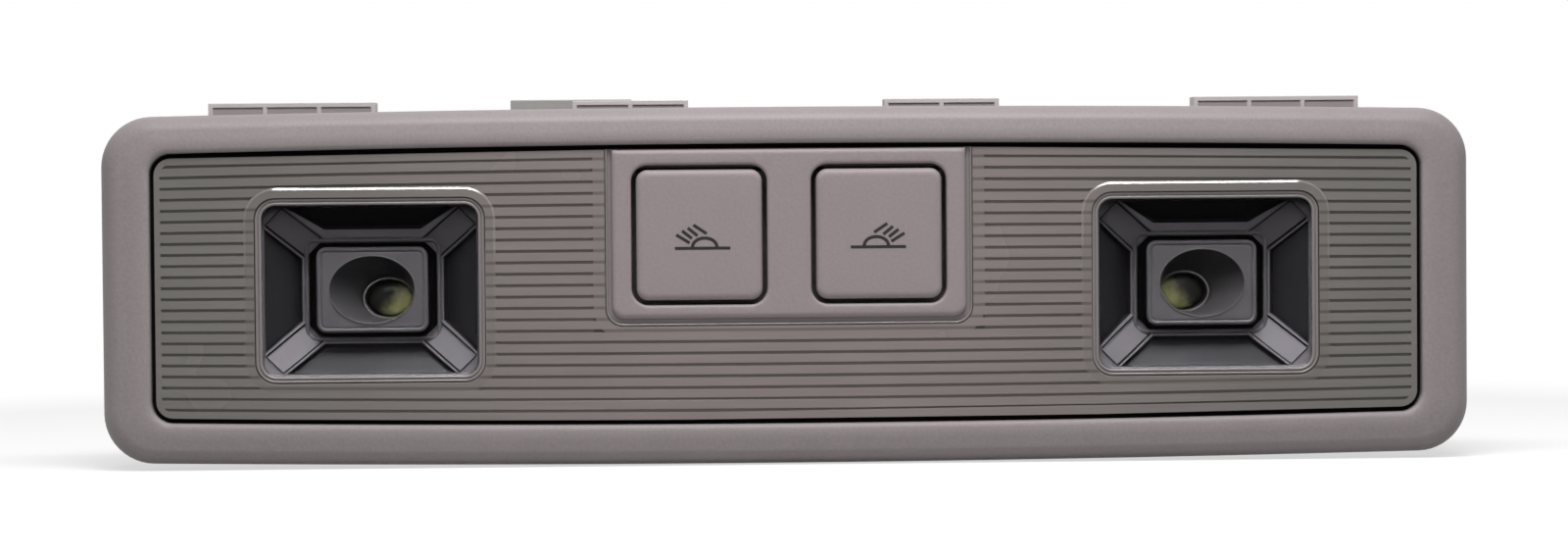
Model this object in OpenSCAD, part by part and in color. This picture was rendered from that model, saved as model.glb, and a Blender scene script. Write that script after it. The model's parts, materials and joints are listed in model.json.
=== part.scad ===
// Car dome light with two reading lamps, two push buttons and a smoked, grooved lens.
// Every piece is drawn lying down: x to the right, y up the face, z out of the face, with
// z = 0 at the plane where the bezel meets the headliner. The lamp is then stood up, so that
// its face looks along -Y and its hook tabs point up.

/* [Bezel] */
// Width over the bezel
bezel_w = 233; // [225:1:245]
// Height of the bezel at its left and right ends
bezel_h = 58.6; // [57:0.2:64]
// How far each long edge bulges at its middle
edge_bow = 1.1; // [0.2:0.1:2]
// Radius of the bezel's outer corners
bezel_r = 8.4; // [6:0.2:12]
// How far the crest stands out of the headliner
bezel_crest = 8; // [7.8:0.1:10]
// Height of the outer side wall below its shoulder
side_h = 3.2; // [2.5:0.1:4]
// Share of the rail's width that the outer shoulder takes
shoulder = 0.46; // [0.35:0.01:0.6]
// Thickness of the bezel's wall
bezel_wall = 2.2; // [1.6:0.1:2.6]
// Depth of the skirt behind the headliner plane
skirt_depth = 2.4; // [1.5:0.1:2.6]

/* [Opening and lens] */
// Width of the rail at each end of the bezel
rail_side = 8.5; // [7:0.1:11]
// Mean width of the rails along the top and the bottom
rail_long = 6.6; // [6:0.1:8]
// Corner radius of the opening
open_r = 3.6; // [2.6:0.1:5]
// Height of the opening's middle above the bezel's middle
open_y = 0.35; // [0:0.05:0.6]
// Gap between the opening and what it holds
lens_gap = 0.8; // [0.4:0.1:1.1]
// Height of the lens face above the headliner
lens_face = 7; // [6.6:0.1:7.4]
// Thickness of the lens
lens_t = 2; // [1.6:0.1:2.2]
// Height of the skirt that the lens stands on
lens_skirt = 1; // [0.8:0.1:1.4]
// Width of the ledge that carries the lens
ledge_w = 4; // [3.4:0.1:4.4]
// Thickness of the ledge
ledge_t = 1.6; // [1.2:0.1:2]

/* [Grooves] */
// Distance from one groove to the next
groove_pitch = 1.86; // [1.5:0.02:2.6]
// Width of a groove
groove_w = 0.5; // [0.3:0.05:0.8]
// Depth of a groove
groove_d = 0.4; // [0.2:0.05:0.7]
// Plain border between the grooves and an edge
groove_border = 2; // [1:0.1:3]

/* [Reading lamps] */
// Share of the lens beside the switch plate that a window takes
window_share = 0.474; // [0.4:0.002:0.5]
// Share of the lens left and right of a window that lies at its outer side
window_end_share = 0.46; // [0.4:0.01:0.54]
// Distance of each window from the long edges of the opening
window_edge = 8.2; // [7.9:0.1:10]
// How far the windows lie below the middle of the opening
window_down = 0.6; // [0:0.05:0.8]
// Corner radius of a window
window_r = 2.4; // [1:0.1:4]
// How far each window's clear pane reaches past the slopes behind it
pane_lap = 1.1; // [0.8:0.1:1.2]
// Gap around the clear pane
pane_gap = 0.1; // [0.05:0.05:0.2]
// Thickness of the pane at its rim
pane_rim = 1.9; // [1.6:0.1:2.2]
// Width of the bead that runs round the pane's edge
pane_bead = 0.5; // [0.3:0.05:0.6]
// Depth of the groove inside that bead
bead_groove = 0.3; // [0.2:0.05:0.5]
// Depth of the dish in the front of the pane
pane_dish = 0.7; // [0.4:0.1:1]
// Width of the slopes' foot as a share of the window's
foot_w_share = 0.667; // [0.62:0.001:0.74]
// Height of the slopes' foot as a share of the window's
foot_h_share = 0.628; // [0.6:0.001:0.68]
// Depth of the slopes below the back of the lens
slope_d = 4.8; // [4:0.1:5.4]
// Width of the ridge at the foot of the slopes
ridge_w = 1.1; // [0.8:0.1:1.4]
// Width of the moat at the left and right of the boss
moat_side = 1.8; // [1:0.1:2.2]
// Width of the moat above and below the boss
moat_long = 0.7; // [0.6:0.1:1.2]
// Depth of the boss's face below the back of the lens
boss_d = 2.5; // [1.5:0.1:3.5]
// Depth of the moat around the boss below the ledge
moat_d = 3; // [2:0.1:4]
// Width of a diagonal strut
strut_w = 4.9; // [3.6:0.1:5.4]
// How far a strut stands out of the slopes beside it
strut_proud = 0.4; // [0.2:0.05:0.7]
// Width of the raised edges of a strut
strut_edge = 0.85; // [0.6:0.05:1]
// Depth of the band between those edges
strut_dip = 0.35; // [0.2:0.05:0.5]
// Chamfer round the face of the boss
boss_edge = 0.5; // [0.3:0.1:0.7]
// Width of the boss's face above and below the bowl
bowl_rim = 1.6; // [1.4:0.1:2.4]
// Width of the boss's face left and right of the bowl
bowl_side = 2.1; // [1.6:0.1:3]
// Size of the hole at the bottom of the bowl, as a share of its mouth
bowl_hole_share = 0.56; // [0.4:0.01:0.65]
// Depth of the bowl
bowl_d = 5.2; // [4:0.1:6]
// How far the bowl leans inboard
bowl_lean = 2.6; // [0:0.1:3]
// How far the bowl leans down
bowl_drop = 1.6; // [0:0.1:2]

/* [Switch plate] */
// Width of the plate between its two holes
plate_web = 7.5; // [6:0.1:12]
// Width of the plate beside its holes
plate_side = 4.05; // [3.8:0.05:6]
// Width of the plate above its holes
plate_head = 2.8; // [2.6:0.1:4]
// Width of the plate below its holes
plate_foot = 3.15; // [2.6:0.05:4]
// Height of the lens that shows below the plate, at the ends
lens_below = 16.05; // [15:0.05:19]
// Radius of the plate's lower corners
plate_r = 2.5; // [1:0.1:4]
// How far the plate stands out of the lens
plate_proud = 0.6; // [0.2:0.1:1]
// Thickness of the plate
plate_t = 2; // [1.6:0.1:2.4]
// Gap between the plate and the notch in the lens
plate_gap = 0.45; // [0.3:0.05:0.8]
// Width of a button
button_w = 21.4; // [20:0.1:22]
// Corner radius of a button
button_r = 2; // [1:0.1:4]
// Gap around a button
button_gap = 0.8; // [0.4:0.05:1]
// How far a button stands out of the plate
button_proud = 0.4; // [0.2:0.1:1]
// Wall of the button's cap
button_wall = 1.5; // [1.2:0.1:2]
// How deep the button's skirt reaches
button_skirt = 5.5; // [4.5:0.1:6]
// Travel of a button
button_travel = 1.2; // [0.6:0.1:1.4]

/* [Circuit board] */
// Room between the board and the floor of the housing
board_room = 2.8; // [2.6:0.1:3.4]
// Thickness of the board
board_t = 1.6; // [1:0.1:2]
// Width of a push switch
switch_w = 12; // [10:0.5:13]
// Height of a push switch over the board
switch_h = 4; // [3.4:0.1:4.4]
// Radius of a switch plunger
plunger_r = 3; // [2:0.1:3.6]
// Running gap around a plunger
plunger_gap = 0.1; // [0.05:0.05:0.2]
// Side of a reading light's package
led_w = 5; // [4:0.1:5.6]
// Height of a light's package
led_h = 0.8; // [0.6:0.1:0.9]
// Height of a light's emitter over its package
emitter_h = 0.4; // [0.2:0.1:0.5]
// Radius of a light's emitter
emitter_r = 1.8; // [1:0.1:2]
// Length of the driver chip
chip_w = 10; // [6:0.5:14]
// Width of the driver chip
chip_h = 7; // [5:0.5:9]
// Thickness of the driver chip
chip_t = 1.8; // [1:0.1:2.2]
// Distance from leg to leg of the chip
chip_pitch = 1.27; // [1:0.01:1.3]
// Radius of a capacitor's can
can_r = 3.1; // [2:0.1:3.6]
// Height of a capacitor
can_h = 6.4; // [4:0.1:8]
// Width of a resistor
resistor_w = 1.6; // [0.8:0.1:2]
// Thickness of a resistor
resistor_t = 0.6; // [0.4:0.1:1]

/* [Housing] */
// Thickness of the housing's walls
housing_wall = 1.8; // [1.4:0.1:2]
// Gap between the housing and the bezel's skirt
housing_gap = 0.3; // [0.2:0.05:0.5]
// Thickness of the housing's floor
housing_floor = 1.6; // [1.2:0.1:2]
// Chamfer round the housing's back
housing_edge = 0.8; // [0.4:0.1:1.2]
// Depth of the housing's shallow ends
housing_depth = 14; // [13.6:0.2:18]
// How far the housing's middle stands out of its shallow ends
pod_rise = 9; // [8.8:0.1:12]
// Corner radius of the deep middle
pod_r = 5; // [3.6:0.2:7]
// How much the deep middle narrows towards its back
pod_draft = 0.8; // [0.3:0.1:1.2]
// How far the deep middle lies inside the ends of the opening
pod_end = 42; // [32:1:50]
// How far the deep middle lies inside the long edges of the opening
pod_edge = 4.2; // [3.4:0.1:5]
// How far the hook tabs reach over the bezel's edge
hook_rise = 1.4; // [0.6:0.1:3]
// Distance of the outer hook tabs from the ends of the bezel
hook_end = 17.3; // [14:0.1:24]
// Length of the outer hook tabs
hook_long = 28.6; // [20:0.1:32]
// Distance of the inner hook tabs from the middle
hook_inner = 16.9; // [14:0.1:22]
// Length of the inner hook tabs
hook_short = 19.9; // [14:0.1:24]
// Gap between the headliner plane and the hook tabs
hook_gap = 3; // [2.8:0.1:4]
// Gap between the hook tabs and the connector behind them
hook_clear = 1.6; // [1.2:0.1:2]
// Depth of the cells in the front of the hook tabs
hook_cell = 1.3; // [0.8:0.1:2]
// Walls and ribs of the hook tabs
hook_wall = 0.8; // [0.6:0.1:1.2]
// Width of the spring clips
clip_w = 13; // [10:0.5:16]
// Distance of each spring clip from the end of the opening
clip_end = 24; // [16:1:34]
// Thickness of the clip's sheet
clip_t = 0.7; // [0.5:0.05:0.9]
// Width of the ribs on the housing's back
rib_w = 1.4; // [1:0.1:2]
// Height of those ribs
rib_h = 1; // [0.6:0.1:2]
// Width of a vent slot
vent_w = 1.8; // [1:0.1:2.4]
// Length of a vent slot
vent_l = 16; // [8:0.5:20]
// Distance from vent to vent
vent_pitch = 4; // [3:0.1:5]

/* [Connector] */
// Distance of the connector to the left of the middle, as a share of the deep middle's width
plug_share = 0.282; // [0.25:0.001:0.32]
// Width of the connector
plug_w = 21; // [18:0.5:24]
// Depth of the connector behind the board
plug_d = 10; // [9:0.1:11]
// How far the connector's mouth reaches over the bezel's edge
plug_rise = 1.8; // [0.2:0.1:2.6]
// How far the connector reaches over the board
plug_seat = 3.4; // [3:0.1:5]
// Wall of the connector
plug_wall = 1.6; // [1.2:0.1:1.8]
// Depth of the socket
socket_d = 9.6; // [8.5:0.1:10]
// Side of a pin
pin_w = 0.8; // [0.6:0.1:1]
// Distance from pin to pin
pin_pitch = 2.7; // [2:0.1:3]

/* [Fasteners] */
// Radius of a screw's shank
screw_r = 1.2; // [1:0.05:1.4]
// Radius of a screw's head
head_r = 2.4; // [2.2:0.1:2.6]
// Height of a screw's head
head_h = 1.6; // [1.2:0.1:2]
// Gap between a screw and what it passes through
screw_gap = 0.15; // [0.1:0.05:0.3]
// Radius of a screw post
post_r = 2.8; // [2.4:0.1:3]
// Length of screw that grips its post
screw_grip = 5; // [3:0.1:6]

/* [Hidden] */

// Smoothness of arcs and of the bowed edges
arc_steps = 7;
edge_steps = 12;
$fn = 48;
// How far a cutting shape runs past what it cuts
over = 0.5;

// Sizes of the opening and of what shows in it
open_w = bezel_w - 2 * rail_side;
open_h = bezel_h - 2 * rail_long;
button_x = plate_web / 2 + button_gap + button_w / 2;
plate_w = 2 * (button_x + button_w / 2 + button_gap + plate_side);
plate_low = open_h / 2 - open_y - lens_below;
hole_top = open_y + open_h / 2 + edge_bow - lens_gap - plate_head;
hole_low = plate_foot - plate_low;
button_h = hole_top - hole_low - 2 * button_gap;
button_y = (hole_top + hole_low) / 2;
beside = (open_w - plate_w) / 2;
window_w = window_share * beside;
window_h = open_h - 2 * window_edge;
window_x = open_w / 2 - window_end_share * (beside - window_w) - window_w / 2;
window_y = open_y - window_down;
foot_w = foot_w_share * window_w;
foot_h = foot_h_share * window_h;
boss_w = foot_w - 2 * (ridge_w + moat_side);
boss_h = foot_h - 2 * (ridge_w + moat_long);
bowl_r = boss_h / 2 - bowl_rim;
bowl_stretch = (boss_w / 2 - bowl_side) / bowl_r;
pod_w = open_w - 2 * pod_end;
pod_h = open_h - 2 * pod_edge;
plug_x = plug_share * pod_w;
bezel_top = bezel_h / 2 + edge_bow;
hook_top = bezel_top + hook_rise;
plug_top = bezel_top + plug_rise;
clip_x = open_w / 2 - clip_end;
board_depth = housing_depth - housing_floor - board_room - board_t;
hook_d = board_depth + board_t - hook_gap - hook_clear;
pod_depth = housing_depth + pod_rise;

// Heights along z
lens_back = lens_face - lens_t;
ledge_top = lens_back - lens_skirt;
ledge_back = ledge_top - ledge_t;
plate_face = lens_face + plate_proud;
plate_back = plate_face - plate_t;
button_face = plate_face + button_proud;
button_back = button_face - button_skirt;
board_top = -board_depth;
board_back = board_top - board_t;
tray_t = 1;
tray_floor = board_top + tray_t;
foot_z = lens_back - slope_d;
boss_z = lens_back - boss_d;
bowl_z = boss_z - bowl_d;
hook_z = -hook_gap;

// Insets from the edge of the opening
skirt_inset = 0.9;
housing_inset = skirt_inset + housing_gap;
cavity_inset = housing_inset + housing_wall;
board_inset = cavity_inset + 0.6;
tray_inset = ledge_w + 0.6;
tray_wall = 1;

// A quarter turn of an arc round a corner's centre
function corner_arc(centre, r, start) =
    [for (i = [0:arc_steps]) centre + r * [cos(start + 90 * i / arc_steps), sin(start + 90 * i / arc_steps)]];

// The points between the two ends of a long edge
function edge_row(from_x, to_x, y) =
    [for (i = [1:edge_steps - 1]) [from_x + (to_x - from_x) * i / edge_steps, y]];

// A rectangle with round corners, from its half sizes
function round_loop(hw, hh, r) = concat(
    corner_arc([hw - r, hh - r], r, 0),
    edge_row(hw - r, r - hw, hh),
    corner_arc([r - hw, hh - r], r, 90),
    corner_arc([r - hw, r - hh], r, 180),
    edge_row(r - hw, hw - r, -hh),
    corner_arc([hw - r, r - hh], r, 270)
);

// How much a height grows at x, so that the long edges bulge by edge_bow at the middle
function bow_share(x, hw, hh) = 1 + edge_bow / hh * (1 - x * x / (hw * hw));

function bowed_loop(hw, hh, r, y) =
    [for (p = round_loop(hw, hh, r)) [p[0], y + p[1] * bow_share(p[0], hw, hh)]];

// The opening's edge, moved inwards by an inset, or outwards by a negative one
function inset_loop(inset) =
    bowed_loop(open_w / 2 - inset, open_h / 2 - inset, max(1, open_r - inset), open_y);

bezel_loop = bowed_loop(bezel_w / 2, bezel_h / 2, bezel_r, 0);

function at_height(loop, z) = [for (p = loop) [p[0], p[1], z]];

// A loop on the bezel's rail: share 0 is the outer edge and share 1 is the opening's edge
function rail_loop(share, z) = at_height(bezel_loop * (1 - share) + inset_loop(0) * share, z);

// A closed ring, from the loops that go once round its section
module ring_of_loops(loops) {
    n = len(loops[0]);
    m = len(loops);
    polyhedron(
        points = [for (loop = loops) each loop],
        faces = [
            for (k = [0:m - 1])
            for (i = [0:n - 1])
            let (a = k * n + i, b = k * n + (i + 1) % n)
            let (c = (k + 1) % m * n + i, d = (k + 1) % m * n + (i + 1) % n)
            each [[a, c, d], [a, d, b]]
        ]
    );
}

// A solid from loops stacked along z, closed at both ends
module stack_of_loops(loops) {
    n = len(loops[0]);
    m = len(loops);
    polyhedron(
        points = [for (loop = loops) each loop],
        faces = concat(
            [[for (i = [0:n - 1]) i]],
            [
                for (k = [0:m - 2])
                for (i = [0:n - 1])
                let (a = k * n + i, b = k * n + (i + 1) % n)
                each [[a, a + n, b + n], [a, b + n, b]]
            ],
            [[for (i = [0:n - 1]) m * n - 1 - i]]
        )
    );
}

// A plate between two heights, with the opening's outline at an inset
module inset_slab(inset, low, high) {
    translate([0, 0, low]) linear_extrude(high - low) polygon(inset_loop(inset));
}

// A round-cornered block, from its half sizes, between two heights
module round_block(hw, hh, r, low, high) {
    translate([0, 0, low]) linear_extrude(high - low) polygon(round_loop(hw, hh, r));
}

// A round-cornered block that narrows towards its back and has a chamfer round it
module drafted_block(hw, hh, r, low, high) {
    edge = pod_draft + housing_edge;
    stack_of_loops([
        at_height(round_loop(hw - edge, hh - edge, r - housing_edge), low),
        at_height(round_loop(hw - pod_draft, hh - pod_draft, r), low + housing_edge),
        at_height(round_loop(hw, hh, r), high)
    ]);
}

// A block with four sloping sides, from its half sizes at two heights
module frustum(low_size, low, high_size, high) {
    polyhedron(
        points = [
            for (s = [[low_size, low], [high_size, high]])
            for (q = [[-1, -1], [1, -1], [1, 1], [-1, 1]])
            [q[0] * s[0][0], q[1] * s[0][1], s[1]]
        ],
        faces = [[0, 1, 2, 3], [7, 6, 5, 4], [0, 4, 5, 1], [1, 5, 6, 2], [2, 6, 7, 3], [3, 7, 4, 0]]
    );
}

// A block between two corners
module span(low, high) {
    translate(low) cube(high - low);
}

module stand_up() {
    rotate([90, 0, 0]) children();
}

// The outer shoulder is a quarter of an ellipse, the crest is nearly flat, and the wall
// behind them is hollow down to the foot that meets the headliner
module bezel() {
    shoulder_rise = bezel_crest - 0.35 - side_h;
    shoulder_steps = 6;
    hollow_top = bezel_crest - bezel_wall;
    foot_share = bezel_wall / rail_side;
    skirt_t = 1.6;
    color("#7d7576") stand_up() ring_of_loops(concat(
        [rail_loop(0, 0)],
        [
            for (i = [0:shoulder_steps])
            let (turn = 90 * i / shoulder_steps)
            rail_loop(shoulder * (1 - cos(turn)), side_h + shoulder_rise * sin(turn))
        ],
        [
            rail_loop(0.72, bezel_crest),
            rail_loop(0.93, bezel_crest - 0.15),
            rail_loop(0.985, bezel_crest - 0.45),
            rail_loop(1, bezel_crest - 0.9),
            at_height(inset_loop(0), ledge_top),
            at_height(inset_loop(ledge_w), ledge_top),
            at_height(inset_loop(ledge_w), ledge_back),
            at_height(inset_loop(skirt_inset), ledge_back),
            at_height(inset_loop(skirt_inset), -skirt_depth),
            at_height(inset_loop(skirt_inset - skirt_t), -skirt_depth),
            at_height(inset_loop(skirt_inset - skirt_t), hollow_top - 0.6),
            rail_loop(foot_share + 0.04, hollow_top - 0.6),
            rail_loop(foot_share, 0)
        ]
    ));
}

// The outline of the switch plate, which runs up to the edge of the opening
module plate_outline(grow) {
    intersection() {
        polygon(inset_loop(lens_gap - grow));
        translate([0, open_h / 2 - plate_low])
            polygon(round_loop(plate_w / 2 + grow, open_h / 2 + grow, plate_r + grow));
    }
}

// Both windows, grown by a border
module window_outlines(grow) {
    for (side = [-1, 1])
        translate([side * window_x, window_y])
            polygon(round_loop(window_w / 2 + grow, window_h / 2 + grow, window_r + grow));
}

// A point of a line at height y that follows the bow of the long edges
function bowed_point(x, y) = [x, open_y + y * bow_share(x, open_w / 2, open_h / 2)];

module groove_line(y) {
    steps = 10;
    hw = open_w / 2;
    low_edge = [for (i = [-steps:steps]) bowed_point(hw * i / steps, y - groove_w / 2)];
    top_edge = [for (i = [steps:-1:-steps]) bowed_point(hw * i / steps, y + groove_w / 2)];
    polygon(concat(low_edge, top_edge));
}

module groove_field() {
    count = floor((open_h / 2 - lens_gap - groove_border / 2) / groove_pitch);
    difference() {
        intersection() {
            union() for (i = [-count:count]) groove_line(i * groove_pitch);
            polygon(inset_loop(lens_gap + groove_border / 2));
        }
        window_outlines(groove_border);
        plate_outline(plate_gap + groove_border);
    }
}

module lens_cover() {
    color("#6f6868") stand_up() difference() {
        union() {
            inset_slab(lens_gap, lens_back, lens_face);
            difference() {
                inset_slab(lens_gap, ledge_top, lens_back);
                inset_slab(lens_gap + lens_skirt * 1.5, ledge_top - over, lens_back + over);
            }
        }
        translate([0, 0, ledge_top - over]) linear_extrude(lens_face) plate_outline(plate_gap);
        translate([0, 0, lens_face - groove_d]) linear_extrude(groove_d + over) groove_field();
        translate([0, 0, lens_back - over])
            linear_extrude(lens_t + 2 * over) window_outlines(pane_lap + pane_gap);
    }
}

// A clear pane with a bead round its edge, a groove, a second bead and a dished face. It stands
// on the shade's flange
module window_pane(side) {
    hw = window_w / 2 + pane_lap;
    hh = window_h / 2 + pane_lap;
    r = window_r + pane_lap;
    soft = 0.12;
    inner = pane_bead + 2 * soft;
    low = pane_rim - bead_groove;
    steps = [
        [0, 0], [0, pane_rim - soft], [soft, pane_rim], [pane_bead - soft, pane_rim], [pane_bead, low],
        [inner - soft, low], [inner, pane_rim], [inner + pane_bead, pane_rim],
        [inner + 2 * pane_bead, pane_rim - pane_dish * 0.6], [inner + 5 * pane_bead, pane_rim - pane_dish]
    ];
    color("#b9bbbd", 0.4) stand_up() translate([side * window_x, window_y, 0]) stack_of_loops([
        for (s = steps)
        let (loop = round_loop(hw - s[0], hh - s[0], max(1, r - s[0])))
        at_height(loop, lens_back + s[1])
    ]);
}

// A ring of wall round each button, between two heights
module button_sleeves(grow, low, high) {
    for (side = [-1, 1])
        translate([side * button_x, button_y, 0])
            round_block(button_w / 2 + grow, button_h / 2 + grow, button_r + grow, low, high);
}

leg_x = plate_w / 2 - 1.7;
leg_low = 2.2 - plate_low;
leg_high = open_y + open_h / 2 - tray_inset - tray_wall - 1.8;
post_low = button_y - button_h / 2 + 3;
post_high = button_y + button_h / 2 - 4;

// Screws hold the plate from behind at these places
post_places = [[0, post_low], [0, post_high]];

module plate_posts() {
    leg_r = 1.3;
    post_h = plate_back - tray_floor + over;
    for (place = post_places) translate([place[0], place[1], tray_floor]) cylinder(h = post_h, r = post_r);
    for (x = [-leg_x, leg_x], y = [leg_low, leg_high])
        translate([x, y, tray_floor]) cylinder(h = post_h, r = leg_r, $fn = 24);
}

// Clearance holes for screws, from a height upwards
module screw_holes(places, low, depth) {
    for (place = places) translate([place[0], place[1], low]) cylinder(h = depth, r = screw_r + screw_gap);
}

module switch_plate() {
    sleeve_t = 1;
    color("#8a8182") stand_up() difference() {
        union() {
            translate([0, 0, plate_back]) linear_extrude(plate_t) plate_outline(0);
            translate([0, 0, ledge_top]) linear_extrude(plate_back - ledge_top + over) difference() {
                plate_outline(0);
                plate_outline(-1.2);
            }
            button_sleeves(button_gap + sleeve_t, ledge_top, plate_back + over);
            intersection() {
                button_sleeves(button_gap + sleeve_t, button_back, ledge_top + over);
                inset_slab(ledge_w + 0.3, button_back, ledge_top + over);
            }
            plate_posts();
        }
        button_sleeves(button_gap, button_back - over, plate_face + over);
        screw_holes(post_places, tray_floor - over, screw_grip + 2);
    }
}

// The plungers stand out of their switches by this much
plunger_rise = 2.2;
stem_low = board_top + switch_h + plunger_rise;

// A cap with a crowned edge, hollow behind, on a stem that reaches the switch
module button(side) {
    edge = 0.5;
    soft = edge * 0.3;
    hw = button_w / 2;
    hh = button_h / 2;
    inside = [hw - button_wall, hh - button_wall, max(0.6, button_r - button_wall)];
    ceiling = button_face - button_wall;
    rib_end = hw - button_wall / 2;
    color("#8c8384") stand_up() translate([side * button_x, button_y, 0]) {
        difference() {
            stack_of_loops([
                at_height(round_loop(hw, hh, button_r), button_back),
                at_height(round_loop(hw, hh, button_r), button_face - edge),
                at_height(round_loop(hw - soft, hh - soft, button_r - soft), button_face - soft),
                at_height(round_loop(hw - edge, hh - edge, button_r - edge), button_face)
            ]);
            round_block(inside[0], inside[1], inside[2], button_back - over, ceiling);
        }
        translate([0, 0, stem_low]) cylinder(h = ceiling - stem_low + 0.2, r = 2.4);
        for (turn = [0, 90])
            rotate(turn) span([-rib_end, -0.5, button_back + 1], [rib_end, 0.5, ceiling + 0.2]);
    }
}

// The oval outline of the bowl at a height: it leans and narrows down to its hole, and a
// straight tube goes on from there
function bowl_loop(side, grow, z) =
    let (down = min(1, (boss_z - z) / bowl_d))
    let (r = bowl_r * (1 - (1 - bowl_hole_share) * down) + grow)
    [
        for (i = [0:bowl_steps - 1])
        let (turn = 360 * i / bowl_steps)
        [bowl_stretch * r * cos(turn) - side * bowl_lean * down, r * sin(turn) - bowl_drop * down, z]
    ];

bowl_steps = 56;
bowl_wall = 0.7;
bowl_gap = 0.1;
bowl_foot = board_top + led_h + emitter_h + 0.5;

// Four struts that run down the corners of the pyramid. Each is as high as the slopes at its
// edges, and strut_proud on top of that, with a shallow band between two raised edges
module struts() {
    top = [window_w / 2, window_h / 2, lens_back];
    low = [foot_w / 2, foot_h / 2, foot_z];
    run = top - low;
    reach = norm([run[0], run[1]]);
    tilt = atan2(run[2], reach);
    edge_rise = strut_w / 2 * run[2] / reach * max(run[0] / run[1], run[1] / run[0]);
    rise = (edge_rise + strut_proud) * cos(tilt);
    band = strut_w / 2 - strut_edge;
    half = norm(run) / 2 + 0.8;
    for (qx = [-1, 1], qy = [-1, 1])
        scale([qx, qy, 1])
            translate((top + low) / 2)
                rotate([0, 0, atan2(run[1], run[0])])
                    rotate([0, -tilt, 0])
                        difference() {
                            span([-half, -strut_w / 2, -1], [half, strut_w / 2, rise]);
                            span([-half - over, -band, rise - strut_dip], [half + over, band, rise + over]);
                        }
}

// The block that carries the bowl
module boss() {
    hw = boss_w / 2;
    hh = boss_h / 2;
    r = 1.5;
    stack_of_loops([
        at_height(round_loop(hw, hh, r), tray_floor),
        at_height(round_loop(hw, hh, r), boss_z - boss_edge),
        at_height(round_loop(hw - boss_edge, hh - boss_edge, r - boss_edge), boss_z)
    ]);
}

shade_flange = 1.3;

module shade(side) {
    wall = 1.2;
    hw = window_w / 2;
    hh = window_h / 2;
    flange = [hw + shade_flange, hh + shade_flange, window_r + shade_flange];
    foot = [foot_w / 2, foot_h / 2];
    base = [foot[0] + wall, foot[1] + wall];
    slope_x = (hw - foot[0]) / slope_d;
    slope_y = (hh - foot[1]) / slope_d;
    moat = [foot[0] - ridge_w, foot[1] - ridge_w];
    moat_z = foot_z - moat_d;
    color("#4a4748") stand_up() translate([side * window_x, window_y, 0]) difference() {
        union() {
            difference() {
                union() {
                    round_block(flange[0], flange[1], flange[2], lens_back - wall, lens_back);
                    frustum(base, foot_z - wall, [hw + wall, hh + wall], lens_back - 0.2);
                    span([-base[0], -base[1], moat_z - wall], [base[0], base[1], foot_z]);
                }
                frustum(foot, foot_z, [hw + slope_x * over, hh + slope_y * over], lens_back + over);
                round_block(moat[0], moat[1], 1.2, moat_z, foot_z + over);
            }
            intersection() {
                struts();
                frustum(foot, foot_z - over, [hw + 1, hh + 1], lens_back);
            }
            boss();
        }
        stack_of_loops([
            for (z = [tray_floor - over, bowl_z, boss_z + over]) bowl_loop(side, bowl_wall + bowl_gap, z)
        ]);
    }
}

module spot_reflector(side) {
    color("#3f3d3d") stand_up() translate([side * window_x, window_y, 0]) ring_of_loops(concat(
        [for (z = [bowl_foot, bowl_z, boss_z]) bowl_loop(side, bowl_wall, z)],
        [for (z = [boss_z, bowl_z, bowl_foot]) bowl_loop(side, 0, z)]
    ));
}

// A light's package with a round emitter on it, standing on the board
module light(x, y) {
    translate([x, y, board_top]) {
        translate([0, 0, led_h / 2]) cube([led_w, led_w, led_h], center = true);
        cylinder(h = led_h + emitter_h, r = emitter_r);
    }
}

spot_x = window_x - bowl_lean;
spot_y = window_y - bowl_drop;

module spot_led(side) {
    color("#c9cf7a") stand_up() light(side * spot_x, spot_y);
}

// The lights stand midway between the shades and the wall round the switches, and below it
box_w = plate_w / 2 + plate_gap + 1;
box_low = plate_low + plate_gap + 1;
ambient_x = (window_x - window_w / 2 - shade_flange + box_w + tray_wall) / 2;
ambient_low_x = button_x;
ambient_low_y = (open_y - open_h / 2 + tray_inset + tray_wall - box_low - tray_wall) / 2;
ambient_places = [for (sx = [-1, 1]) each [[sx * ambient_x, 0], [sx * ambient_low_x, ambient_low_y]]];

module ambient_leds() {
    color("#d8d6b0") stand_up() for (place = ambient_places) light(place[0], place[1]);
}

board_hw = open_w / 2 - board_inset;
board_hh = open_h / 2 - board_inset;
screw_x = board_hw - 6.5;
screw_y = board_hh - 5.4;
screw_places = [for (sx = [-1, 1], sy = [-1, 1]) [sx * screw_x, open_y + sy * screw_y]];

// White tray: a floor on the board, a wall under the edge of the lens and a wall round the switches
module reflector_tray() {
    wall_w = box_w + tray_wall;
    light_room = led_w / 2 + 0.4;
    color("#d9d8d4") stand_up() difference() {
        union() {
            inset_slab(tray_inset, board_top, tray_floor);
            difference() {
                inset_slab(tray_inset, tray_floor - 0.01, lens_back);
                inset_slab(tray_inset + tray_wall, board_top, lens_back + over);
                span([-box_w, 0, tray_floor], [box_w, open_h, lens_back + over]);
            }
            difference() {
                intersection() {
                    span([-wall_w, -box_low - tray_wall, tray_floor - 0.01], [wall_w, open_h, lens_back]);
                    inset_slab(tray_inset, board_top, lens_back);
                }
                span([-box_w, -box_low, board_top], [box_w, open_h, lens_back + over]);
            }
        }
        for (place = concat(ambient_places, [[-spot_x, spot_y], [spot_x, spot_y]]))
            span([place[0] - light_room, place[1] - light_room, board_top - over],
                 [place[0] + light_room, place[1] + light_room, tray_floor + over]);
        for (side = [-1, 1])
            translate([side * button_x, button_y, board_top])
                cube([switch_w + 1, switch_w + 1, 3 * tray_t], center = true);
        screw_holes(concat(screw_places, post_places), board_top - over, tray_t + 2 * over);
    }
}

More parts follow.
